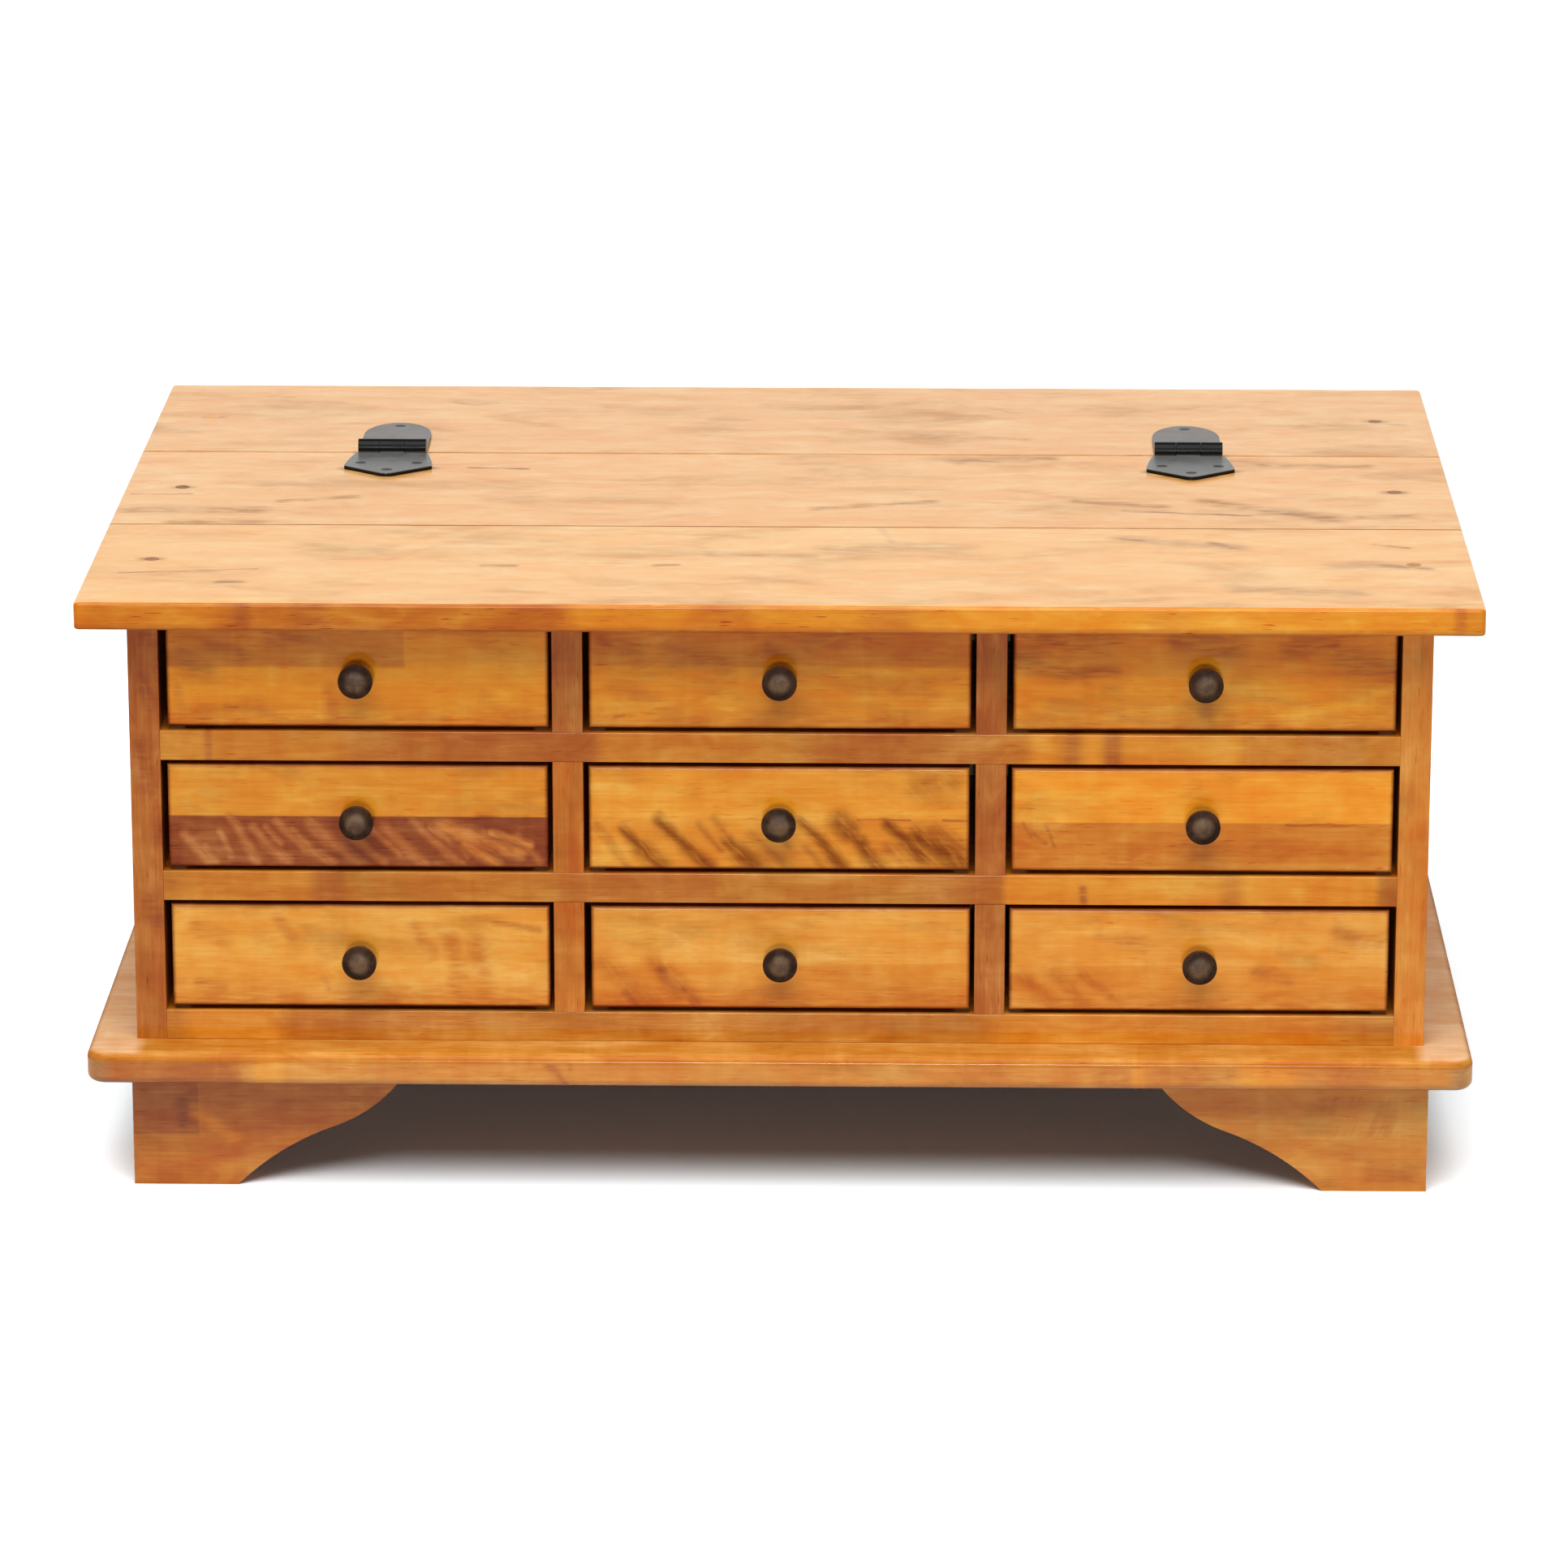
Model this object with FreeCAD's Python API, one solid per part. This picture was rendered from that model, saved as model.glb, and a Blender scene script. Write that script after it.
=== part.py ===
import FreeCAD, Part
import math
import os

V = FreeCAD.Vector

# A low apothecary chest: a case with nine drawers, a plate base on bracket feet, and a
# three-board top whose two front boards are a hinged lid over a storage well.
# Millimetres. X runs to the right, Y to the back, Z up. The origin lies on the floor
# under the middle of the chest.

# Top
top_width = 1000.0
top_depth = 700.0
top_thickness = 20.0
top_corner_radius = 4.0
top_edge_round = 2.2
lid_gap = 1.2
board_joint_bevel = 0.9
lid_heel_relief = 1.6
lid_heel_run = 8.0

# Case
side_overhang = 34.0
front_overhang = 34.0
board_thickness = 22.0
opening_height = 83.0
back_thickness = 18.0
back_rebate = 10.0
housing_depth = 6.0
housing_stop = 12.0
case_arris = 0.7

# Base plate and feet
base_side_overhang = 34.0
base_front_overhang = 34.0
base_thickness = 24.0
base_corner_radius = 14.0
base_edge_round = 6.0
foot_height = 86.0
foot_outset = 4.0
foot_length = 199.0
foot_pad = 75.5
foot_waist_reach = 147.0
foot_waist_height = 45.5
foot_waist_slope = 20.0
bracket_thickness = 22.0
glue_block_leg = 42.0
glue_block_floor_gap = 8.0

# Drawers
columns = ("left", "centre", "right")
rows = ("bottom", "middle", "top")
drawer_length = 260.0
front_thickness = 18.0
front_recess = 1.0
front_side_gap = 4.0
front_top_gap = 3.3
front_bottom_gap = 3.3
front_edge_round = 2.2
box_height = 60.0
box_side_thickness = 10.0
box_side_inset = 1.0
box_tongue = 5.0
box_floor_thickness = 5.0
box_floor_raise = 7.0
box_floor_groove = 5.0
runner_clearance = 0.3
drawer_rear_clearance = 2.0
partition_thickness = 12.0

# How far each drawer sits to the right of the middle of its opening
drawer_shift = {
    "top": {"left": 1.5, "centre": 0.4, "right": 0.5},
    "middle": {"left": 0.5, "centre": -0.2, "right": 0.0},
    "bottom": {"left": 1.0, "centre": 0.8, "right": -0.8},
}

# Knobs
knob_radius = 12.4
knob_projection = 21.5
knob_rose_radius = 7.5
knob_rose_thickness = 2.0
knob_neck_radius = 4.6
knob_head_depth = 10.5
knob_rim_depth = 3.5
knob_dome_height = 2.2
knob_screw_radius = 2.0
knob_screw_bite = 9.0
screw_head_radius = 4.0
screw_head_height = 2.2

# Hinges: the reach of each leaf is measured from the pin
hinge_centre_x = 306.0
hinge_setback = 7.0
barrel_radius = 6.0
barrel_length = 52.0
centre_knuckle_length = 18.6
knuckle_gap = 0.4
barrel_lift = 0.3
pin_radius = 2.5
pin_clearance = 0.08
leaf_thickness = 3.0
leaf_relief = 0.5
fixed_leaf_reach = 95.0
fixed_leaf_shoulder = 55.0
lid_leaf_root_width = 51.0
lid_leaf_wide_width = 67.0
lid_leaf_wide_reach = 49.0
lid_leaf_reach = 76.0
lid_leaf_swell = 1.2
lid_leaf_tip_round = 9.0
hinge_screw_head_radius = 4.2
hinge_screw_head_depth = 2.2
hinge_screw_radius = 2.0
hinge_screw_length = 17.0
hinge_screw_slot_width = 1.0
hinge_screw_slot_depth = 0.8
fixed_leaf_screw_near = 30.0
fixed_leaf_screw_far = 84.0
fixed_leaf_screw_spread = 16.0
lid_leaf_screw_near = 40.0
lid_leaf_screw_far = 62.0
lid_leaf_screw_spread = 21.5

# Plugs in the top boards, and the battens under the lid
plug_radius = 5.5
plug_depth = 7.0
plug_end_distance = 43.0
front_plug_from_edge = 128.0
rear_plug_from_edge = 114.0
batten_width = 45.0
batten_thickness = 16.0
batten_side_clearance = 5.0
batten_front_clearance = 12.0
batten_rear_setback = 11.0
batten_screw_inset = 28.0
batten_screw_length = 28.0
batten_partition_clearance = 3.0

# Slack for telling one place from another when edges are picked
same_place = 0.01

# Places worked out from the sizes above
case_width = top_width - 2 * side_overhang
case_depth = top_depth - 2 * front_overhang
case_front = -case_depth / 2
case_back = case_depth / 2
case_inner_x = case_width / 2 - board_thickness
column_count = len(columns)
row_count = len(rows)
opening_width = (2 * case_inner_x - (column_count - 1) * board_thickness) / column_count
column_pitch = opening_width + board_thickness
row_pitch = opening_height + board_thickness
case_bottom = foot_height + base_thickness
case_height = row_count * row_pitch
case_top = case_bottom + case_height
top_surface = case_top + top_thickness

board_depth = top_depth / 3
lid_joint_y = top_depth / 2 - board_depth
front_joint_y = lid_joint_y - board_depth
base_width = case_width + 2 * base_side_overhang
base_depth = case_depth + 2 * base_front_overhang

drawer_front_y = case_front + front_recess
drawer_back_y = drawer_front_y + drawer_length
partition_front = drawer_back_y + drawer_rear_clearance
partition_back = partition_front + partition_thickness
partition_top = case_top - batten_thickness - batten_partition_clearance
back_front_y = case_back - back_thickness

front_width = opening_width - 2 * front_side_gap
front_height = opening_height - front_bottom_gap - front_top_gap
box_width = front_width - 2 * box_side_inset

hinge_axis_y = lid_joint_y - hinge_setback
hinge_axis_z = top_surface + barrel_radius + barrel_lift
plug_x = top_width / 2 - plug_end_distance


def box(x0, x1, y0, y1, z0, z1):
    return Part.makeBox(x1 - x0, y1 - y0, z1 - z0, V(x0, y0, z0))


def cylinder(radius, length, base, direction):
    return Part.makeCylinder(radius, length, base, direction)


def prism(points, direction):
    """Straight solid on a closed outline of points."""
    outline = Part.makePolygon(points + [points[0]])
    return Part.Face(outline).extrude(direction)


def fillet_where(shape, radius, wanted):
    """Round the straight edges that the test picks by their middle and direction."""
    picked = []
    for edge in shape.Edges:
        start = edge.valueAt(edge.FirstParameter)
        end = edge.valueAt(edge.LastParameter)
        middle = (start + end) * 0.5
        run = end - start
        if wanted(middle, run):
            picked.append(edge)
    return shape.makeFillet(radius, picked)


def runs_along(run, axis):
    lengths = [abs(run.x), abs(run.y), abs(run.z)]
    return lengths[axis] > 0.99 * run.Length


def rounded_plate(width, depth, z0, thickness, corner_radius, edge_round):
    """Flat plate with round corners in plan and all outer edges eased."""
    plate = box(-width / 2, width / 2, -depth / 2, depth / 2, z0, z0 + thickness)
    plate = fillet_where(plate, corner_radius, lambda middle, run: runs_along(run, 2))
    rims = []
    for edge in plate.Edges:
        start = edge.valueAt(edge.FirstParameter)
        end = edge.valueAt(edge.LastParameter)
        if abs(start.z - end.z) < same_place:
            rims.append(edge)
    return plate.makeFillet(edge_round, rims)


def cut_all(shape, tools):
    for tool in tools:
        shape = shape.cut(tool)
    return shape


def save(name, solids):
    if len(solids) == 1:
        shape = solids[0]
    else:
        shape = Part.makeCompound(solids)
    shape.exportStep("parts/" + name + ".step")


def mirrored_x(shape):
    return shape.mirror(V(0, 0, 0), V(1, 0, 0))


def mirrored_y(shape):
    return shape.mirror(V(0, 0, 0), V(0, 1, 0))


# Case


def shelf(z0, y1):
    """Full-width board whose front edge is the rail that shows between the drawers."""
    body = box(-case_inner_x, case_inner_x, case_front, y1, z0, z0 + board_thickness)
    reach = case_inner_x + housing_depth
    tongue = box(-reach, reach, case_front + housing_stop, y1, z0, z0 + board_thickness)
    board = body.fuse(tongue).removeSplitter()
    front = case_front + same_place
    return fillet_where(
        board, case_arris, lambda middle, run: runs_along(run, 0) and middle.y < front
    )


def shelf_z(index):
    return case_bottom + index * row_pitch


def partition():
    reach = case_inner_x + housing_depth
    floor = case_bottom + board_thickness
    return box(-reach, reach, partition_front, partition_back, floor, partition_top)


def back_panel():
    reach = case_inner_x + back_rebate
    return box(-reach, reach, back_front_y, case_back, case_bottom, case_top)


def side_panel(joined):
    """Left side: its front edge is the outer stile, and the shelves are housed in it."""
    x0 = -case_width / 2
    panel = box(x0, x0 + board_thickness, case_front, case_back, case_bottom, case_top)
    panel = fillet_where(panel, case_arris, lambda middle, run: runs_along(run, 2))
    return cut_all(panel, joined)


def divider(row, side):
    centre = side * column_pitch / 2
    z0 = shelf_z(row) + board_thickness
    x0 = centre - board_thickness / 2
    x1 = centre + board_thickness / 2
    upright = box(x0, x1, case_front, partition_front, z0, z0 + opening_height)
    front = case_front + same_place
    return fillet_where(
        upright, case_arris, lambda middle, run: runs_along(run, 2) and middle.y < front
    )


def build_case():
    bottom_shelf = shelf(shelf_z(0), back_front_y)
    lower_shelf = shelf(shelf_z(1), partition_front)
    upper_shelf = shelf(shelf_z(2), partition_front)
    wall = partition()
    back = back_panel()
    left_side = side_panel([bottom_shelf, lower_shelf, upper_shelf, wall, back])
    save("bottom_shelf", [bottom_shelf])
    save("lower_shelf", [lower_shelf])
    save("upper_shelf", [upper_shelf])
    save("well_partition", [wall])
    save("back_panel", [back])
    save("side_panel_left", [left_side])
    save("side_panel_right", [mirrored_x(left_side)])
    for row, row_name in enumerate(rows):
        save("divider_left_" + row_name, [divider(row, -1)])
        save("divider_right_" + row_name, [divider(row, 1)])


# Base plate and feet


def bracket_profile(place):
    """Bracket outline: pad on the floor, then two arcs up to the plate, tangent at the waist."""
    slope = math.radians(foot_waist_slope)
    pad_end = (foot_pad, 0.0)
    waist = (foot_waist_reach, foot_waist_height)
    top_end = (foot_length, foot_height)

    def arc(start, end, end_is_waist):
        chord_x = end[0] - start[0]
        chord_z = end[1] - start[1]
        chord = math.hypot(chord_x, chord_z)
        chord_angle = math.atan2(chord_z, chord_x)
        half_turn = chord_angle - slope
        rise = chord / 2 * math.tan(half_turn / 2)
        if not end_is_waist:
            rise = -rise
        middle_x = (start[0] + end[0]) / 2 - rise * math.sin(chord_angle)
        middle_z = (start[1] + end[1]) / 2 + rise * math.cos(chord_angle)
        return Part.Arc(place(*start), place(middle_x, middle_z), place(*end)).toShape()

    corners = [place(*top_end), place(0.0, foot_height), place(0.0, 0.0), place(*pad_end)]
    straight = Part.makePolygon(corners).Edges
    curve = [arc(pad_end, waist, True), arc(waist, top_end, False)]
    return Part.Face(Part.Wire(straight + curve))


def corner_foot():
    """Front left foot: two brackets mitred at the corner and a block glued behind them."""
    x0 = -case_width / 2 - foot_outset
    y0 = case_front - foot_outset
    front_face = bracket_profile(lambda along, up: V(x0 + along, y0, up))
    front = front_face.extrude(V(0, bracket_thickness, 0))
    side_face = bracket_profile(lambda along, up: V(x0, y0 + along, up))
    side = side_face.extrude(V(bracket_thickness, 0, 0))
    reach = foot_length + bracket_thickness
    mitre = prism(
        [V(x0, y0, 0), V(x0 + reach, y0, 0), V(x0 + reach, y0 + reach, 0)],
        V(0, 0, foot_height),
    )
    front = front.common(mitre)
    side = side.cut(mitre)
    inner_x = x0 + bracket_thickness
    inner_y = y0 + bracket_thickness
    block = prism(
        [
            V(inner_x, inner_y, glue_block_floor_gap),
            V(inner_x + glue_block_leg, inner_y, glue_block_floor_gap),
            V(inner_x, inner_y + glue_block_leg, glue_block_floor_gap),
        ],
        V(0, 0, foot_height - glue_block_floor_gap),
    )
    return [front, side], block


def build_base():
    plate = rounded_plate(
        base_width, base_depth, foot_height, base_thickness, base_corner_radius, base_edge_round
    )
    save("base_plate", [plate])
    brackets, block = corner_foot()
    save("foot_front_left", brackets)
    save("foot_front_right", [mirrored_x(piece) for piece in brackets])
    save("foot_rear_left", [mirrored_y(piece) for piece in brackets])
    save("foot_rear_right", [mirrored_x(mirrored_y(piece)) for piece in brackets])
    rear_block = mirrored_y(block)
    save("foot_glue_blocks", [block, mirrored_x(block), rear_block, mirrored_x(rear_block)])


# Hinges


def leaf_blank(points, arcs):
    """Flat leaf on the top boards, from an outline in the plane of their upper face."""
    edges = Part.makePolygon(points).Edges + arcs
    return Part.Face(Part.Wire(edges)).extrude(V(0, 0, leaf_thickness))


def fixed_leaf_blank(x):
    """Rear leaf: straight sides and an arched end."""
    half = barrel_length / 2
    shoulder = hinge_axis_y + fixed_leaf_shoulder
    tip = hinge_axis_y + fixed_leaf_reach
    z = top_surface
    corners = [V(x - half, shoulder, z), V(x - half, hinge_axis_y, z)]
    corners = corners + [V(x + half, hinge_axis_y, z), V(x + half, shoulder, z)]
    arch = Part.Ellipse(V(0, 0, 0), tip - shoulder, half).toShape()
    turn = FreeCAD.Placement(V(x, shoulder, z), FreeCAD.Rotation(V(0, 0, 1), 90))
    if half > tip - shoulder:
        arch = Part.Ellipse(V(0, 0, 0), half, tip - shoulder).toShape()
        turn = FreeCAD.Placement(V(x, shoulder, z), FreeCAD.Rotation())
    disc = Part.Face(Part.Wire([arch])).extrude(V(0, 0, leaf_thickness))
    disc.Placement = turn
    plain = leaf_blank(corners + [corners[0]], [])
    return plain.fuse(disc).removeSplitter()


def lid_leaf_blank(x):
    """Lid leaf: swelling sides, two sharp corners and a blunt arrow point."""
    z = top_surface
    root = hinge_axis_y
    wide = hinge_axis_y - lid_leaf_wide_reach
    tip = hinge_axis_y - lid_leaf_reach
    half_root = lid_leaf_root_width / 2
    half_wide = lid_leaf_wide_width / 2
    corners = [V(x + half_wide, wide, z), V(x, tip, z), V(x - half_wide, wide, z)]
    middle_y = (root + wide) / 2
    middle_half = (half_root + half_wide) / 2 + lid_leaf_swell
    left_middle = V(x - middle_half, middle_y, z)
    right_middle = V(x + middle_half, middle_y, z)
    left_side = Part.Arc(corners[2], left_middle, V(x - half_root, root, z)).toShape()
    right_side = Part.Arc(V(x + half_root, root, z), right_middle, corners[0]).toShape()
    back = Part.makeLine(V(x - half_root, root, z), V(x + half_root, root, z))
    blank = leaf_blank(corners, [left_side, back, right_side])
    near_tip = tip + same_place
    return fillet_where(
        blank, lid_leaf_tip_round, lambda middle, run: runs_along(run, 2) and middle.y < near_tip
    )


def knuckle(x0, x1, bore_radius, leaf_side):
    """One loop of the barrel, rolled from its leaf, which lies on leaf_side of the pin."""
    base = V(x0, hinge_axis_y, hinge_axis_z)
    tube = cylinder(barrel_radius, x1 - x0, base, V(1, 0, 0))
    edge = hinge_axis_y + leaf_side * (barrel_radius + leaf_relief)
    low_y = min(hinge_axis_y, edge)
    high_y = max(hinge_axis_y, edge)
    roll = box(x0, x1, low_y, high_y, top_surface, top_surface + leaf_thickness)
    bore = cylinder(bore_radius, x1 - x0, base, V(1, 0, 0))
    return tube.fuse(roll).cut(bore), bore


def hinge_screw(x, y):
    """Slotted countersunk screw, flush with the leaf, and the space it fills."""
    top = top_surface + leaf_thickness
    cone = Part.makeCone(
        hinge_screw_head_radius, hinge_screw_radius, hinge_screw_head_depth,
        V(x, y, top), V(0, 0, -1),
    )
    shank = cylinder(hinge_screw_radius, hinge_screw_length, V(x, y, top), V(0, 0, -1))
    solid = cone.fuse(shank).removeSplitter()
    slot = box(
        x - hinge_screw_head_radius, x + hinge_screw_head_radius,
        y - hinge_screw_slot_width / 2, y + hinge_screw_slot_width / 2,
        top - hinge_screw_slot_depth, top,
    )
    return solid.cut(slot), solid


def hinge(x):
    """One hinge centred at x: its two leaves, its pin and its screws."""
    half_barrel = barrel_length / 2
    half_centre = centre_knuckle_length / 2
    outer_start = half_centre + knuckle_gap
    front_relief = hinge_axis_y - barrel_radius - leaf_relief
    rear_relief = hinge_axis_y + barrel_radius + leaf_relief
    z0 = top_surface
    z1 = top_surface + leaf_thickness

    # The rear leaf stays clear of the centre knuckle, and the lid leaf of the outer two.
    fixed = fixed_leaf_blank(x)
    fixed = fixed.cut(box(x - outer_start, x + outer_start, hinge_axis_y, rear_relief, z0, z1))
    moving = lid_leaf_blank(x)
    for side in (-1, 1):
        near = x + side * half_centre
        far = x + side * lid_leaf_wide_width / 2
        low_x = min(near, far)
        high_x = max(near, far)
        moving = moving.cut(box(low_x, high_x, front_relief, hinge_axis_y, z0, z1))

    left_knuckle, left_bore = knuckle(x - half_barrel, x - outer_start, pin_radius, 1)
    right_knuckle, right_bore = knuckle(x + outer_start, x + half_barrel, pin_radius, 1)
    fixed = fixed.fuse(left_knuckle).fuse(right_knuckle)
    fixed = cut_all(fixed, [left_bore, right_bore])
    bore_radius = pin_radius + pin_clearance
    centre_knuckle, centre_bore = knuckle(x - half_centre, x + half_centre, bore_radius, -1)
    moving = moving.fuse(centre_knuckle).cut(centre_bore)

    pin_base = V(x - half_barrel, hinge_axis_y, hinge_axis_z)
    pin = cylinder(pin_radius, barrel_length, pin_base, V(1, 0, 0))

    fixed_places = [
        (x - fixed_leaf_screw_spread, hinge_axis_y + fixed_leaf_screw_near),
        (x + fixed_leaf_screw_spread, hinge_axis_y + fixed_leaf_screw_near),
        (x, hinge_axis_y + fixed_leaf_screw_far),
    ]
    lid_places = [
        (x - lid_leaf_screw_spread, hinge_axis_y - lid_leaf_screw_near),
        (x + lid_leaf_screw_spread, hinge_axis_y - lid_leaf_screw_near),
        (x, hinge_axis_y - lid_leaf_screw_far),
    ]
    fixed_screws = [hinge_screw(*place) for place in fixed_places]
    lid_screws = [hinge_screw(*place) for place in lid_places]
    fixed = cut_all(fixed, [space for screw, space in fixed_screws]).removeSplitter()
    moving = cut_all(moving, [space for screw, space in lid_screws]).removeSplitter()
    return {
        "fixed": fixed,
        "moving": moving,
        "pin": pin,
        "fixed_screws": fixed_screws,
        "lid_screws": lid_screws,
    }


# Top boards, battens and plugs


def plug(side, y):
    base = V(side * plug_x, y, top_surface - plug_depth)
    return cylinder(plug_radius, plug_depth, base, V(0, 0, 1))


def batten(side):
    outer = case_inner_x - batten_side_clearance
    inner = outer - batten_width
    x0 = min(side * inner, side * outer)
    x1 = max(side * inner, side * outer)
    y0 = drawer_front_y + front_thickness + batten_front_clearance
    y1 = lid_joint_y - batten_rear_setback
    strip = box(x0, x1, y0, y1, case_top - batten_thickness, case_top)
    screws = []
    for y in (y0 + batten_screw_inset, front_joint_y + batten_screw_inset,
              y1 - batten_screw_inset):
        base = V((x0 + x1) / 2, y, case_top - batten_thickness)
        shank = cylinder(hinge_screw_radius, batten_screw_length, base, V(0, 0, 1))
        head = cylinder(screw_head_radius, screw_head_height, base, V(0, 0, 1))
        screws.append(shank.fuse(head).removeSplitter())
    return strip, screws


def build_top():
    plate = rounded_plate(
        top_width, top_depth, case_top, top_thickness, top_corner_radius, top_edge_round
    )
    half_gap = lid_gap / 2
    bevels = []
    for joint_y in (front_joint_y, lid_joint_y):
        half = board_joint_bevel
        if joint_y == lid_joint_y:
            half = board_joint_bevel + half_gap
        groove = prism(
            [
                V(-top_width / 2, joint_y - half, top_surface),
                V(-top_width / 2, joint_y + half, top_surface),
                V(-top_width / 2, joint_y, top_surface - half),
            ],
            V(top_width, 0, 0),
        )
        bevels.append(groove)
    plate = cut_all(plate, bevels)
    reach = top_width
    z0 = case_top
    z1 = top_surface
    front_part = plate.common(box(-reach, reach, -top_depth, front_joint_y, z0, z1))
    middle_part = plate.common(
        box(-reach, reach, front_joint_y, lid_joint_y - half_gap, z0, z1)
    )
    rear_part = plate.common(box(-reach, reach, lid_joint_y + half_gap, top_depth, z0, z1))
    # The lid's lower rear edge dips as it turns, so it is bevelled clear of the sides.
    heel = prism(
        [
            V(-top_width / 2, lid_joint_y - lid_heel_run, case_top),
            V(-top_width / 2, lid_joint_y, case_top),
            V(-top_width / 2, lid_joint_y, case_top + lid_heel_relief),
        ],
        V(top_width, 0, 0),
    )
    middle_part = middle_part.cut(heel)

    hinges = [hinge(-hinge_centre_x), hinge(hinge_centre_x)]
    fixed_screws = hinges[0]["fixed_screws"] + hinges[1]["fixed_screws"]
    lid_screws = hinges[0]["lid_screws"] + hinges[1]["lid_screws"]
    left_batten, left_screws = batten(-1)
    right_batten, right_screws = batten(1)
    batten_screws = left_screws + right_screws
    left_batten = cut_all(left_batten, left_screws)
    right_batten = cut_all(right_batten, right_screws)

    front_y = -top_depth / 2 + front_plug_from_edge
    middle_y = (front_joint_y + lid_joint_y) / 2
    rear_y = top_depth / 2 - rear_plug_from_edge
    lid_plugs = [plug(-1, front_y), plug(1, front_y), plug(-1, middle_y), plug(1, middle_y)]
    rear_plugs = [plug(-1, rear_y), plug(1, rear_y)]

    front_part = cut_all(front_part, lid_plugs + batten_screws)
    middle_part = cut_all(middle_part, lid_plugs + batten_screws)
    middle_part = cut_all(middle_part, [space for screw, space in lid_screws])
    rear_part = cut_all(rear_part, rear_plugs)
    rear_part = cut_all(rear_part, [space for screw, space in fixed_screws])

    save("lid_front_board", [front_part])
    save("lid_middle_board", [middle_part])
    save("lid_battens", [left_batten, right_batten])
    save("lid_batten_screws", batten_screws)
    save("lid_plugs", lid_plugs)
    save("rear_top_board", [rear_part])
    save("rear_board_plugs", rear_plugs)
    for name, parts in (("left", hinges[0]), ("right", hinges[1])):
        save("hinge_rear_leaf_" + name, [parts["fixed"]])
        save("hinge_lid_leaf_" + name, [parts["moving"]])
    save("hinge_pins", [parts["pin"] for parts in hinges])
    save("hinge_rear_screws", [screw for screw, space in fixed_screws])
    save("hinge_lid_screws", [screw for screw, space in lid_screws])


# Drawers


def knob(x, z):
    """Turned knob on a rose, held by a screw from inside the drawer."""
    head_start = knob_projection - knob_head_depth
    rim_end = knob_projection - knob_dome_height
    rim_start = rim_end - knob_rim_depth
    face = drawer_front_y
    hole_end = knob_screw_bite

    def at(radius, out):
        return V(x + radius, face - out, z)

    outline = [
        Part.makeLine(at(0, 0), at(knob_rose_radius, 0)),
        Part.makeLine(at(knob_rose_radius, 0), at(knob_rose_radius, knob_rose_thickness)),
        Part.makeLine(
            at(knob_rose_radius, knob_rose_thickness), at(knob_neck_radius, knob_rose_thickness)
        ),
        Part.makeLine(
            at(knob_neck_radius, knob_rose_thickness), at(knob_neck_radius, head_start)
        ),
    ]
    swell_radius = (knob_neck_radius + knob_radius) / 2
    swell_out = head_start + (rim_start - head_start) / 4
    swell = Part.Arc(
        at(knob_neck_radius, head_start), at(swell_radius, swell_out), at(knob_radius, rim_start)
    )
    outline.append(swell.toShape())
    outline.append(Part.makeLine(at(knob_radius, rim_start), at(knob_radius, rim_end)))
    dome_radius = (knob_radius ** 2 + knob_dome_height ** 2) / (2 * knob_dome_height)
    half_angle = math.asin(knob_radius / dome_radius) / 2
    dome_side = dome_radius * math.sin(half_angle)
    dome_out = knob_projection - dome_radius * (1 - math.cos(half_angle))
    dome = Part.Arc(at(knob_radius, rim_end), at(dome_side, dome_out), at(0, knob_projection))
    outline.append(dome.toShape())
    outline.append(Part.makeLine(at(0, knob_projection), at(0, 0)))
    turned = Part.Face(Part.Wire(outline)).revolve(V(x, face, z), V(0, 1, 0), 360)

    inside = face + front_thickness
    shank_length = front_thickness + hole_end
    shank = cylinder(knob_screw_radius, shank_length, V(x, inside, z), V(0, -1, 0))
    head = cylinder(screw_head_radius, screw_head_height, V(x, inside, z), V(0, 1, 0))
    screw = shank.fuse(head).removeSplitter()
    return turned.cut(shank), screw, shank


def drawer(row, column):
    """One drawer: its front, its four-piece box and its knob, closed in its opening."""
    x = (column - (column_count - 1) / 2) * column_pitch
    x = x + drawer_shift[rows[row]][columns[column]]
    floor = shelf_z(row) + board_thickness
    front_z0 = floor + front_bottom_gap
    front_z1 = front_z0 + front_height
    half_front = front_width / 2
    back_of_front = drawer_front_y + front_thickness
    front = box(x - half_front, x + half_front, drawer_front_y, back_of_front, front_z0, front_z1)
    front = fillet_where(
        front, front_edge_round, lambda middle, run: middle.y < drawer_front_y + same_place
    )

    half_box = box_width / 2
    box_z0 = floor + runner_clearance
    box_z1 = box_z0 + box_height
    side_start = back_of_front - box_tongue
    sides = [
        box(x - half_box, x - half_box + box_side_thickness, side_start, drawer_back_y,
            box_z0, box_z1),
        box(x + half_box - box_side_thickness, x + half_box, side_start, drawer_back_y,
            box_z0, box_z1),
    ]
    inner = half_box - box_side_thickness
    back = box(x - inner, x + inner, drawer_back_y - box_side_thickness, drawer_back_y,
               box_z0, box_z1)
    reach = inner + box_floor_groove
    floor_z0 = box_z0 + box_floor_raise
    floor_board = box(
        x - reach, x + reach, back_of_front - box_floor_groove,
        drawer_back_y - box_side_thickness + box_floor_groove,
        floor_z0, floor_z0 + box_floor_thickness,
    )
    turned, screw, hole = knob(x, (front_z0 + front_z1) / 2)
    front = cut_all(front, sides + [floor_board, hole])
    sides = [side.cut(floor_board) for side in sides]
    back = back.cut(floor_board)
    return front, sides + [back, floor_board], [turned, screw]


def build_drawers():
    for row, row_name in enumerate(rows):
        for column, column_name in enumerate(columns):
            front, pieces, knob_pieces = drawer(row, column)
            place = row_name + "_" + column_name
            save("drawer_front_" + place, [front])
            save("drawer_box_" + place, pieces)
            save("knob_" + place, knob_pieces)


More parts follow.
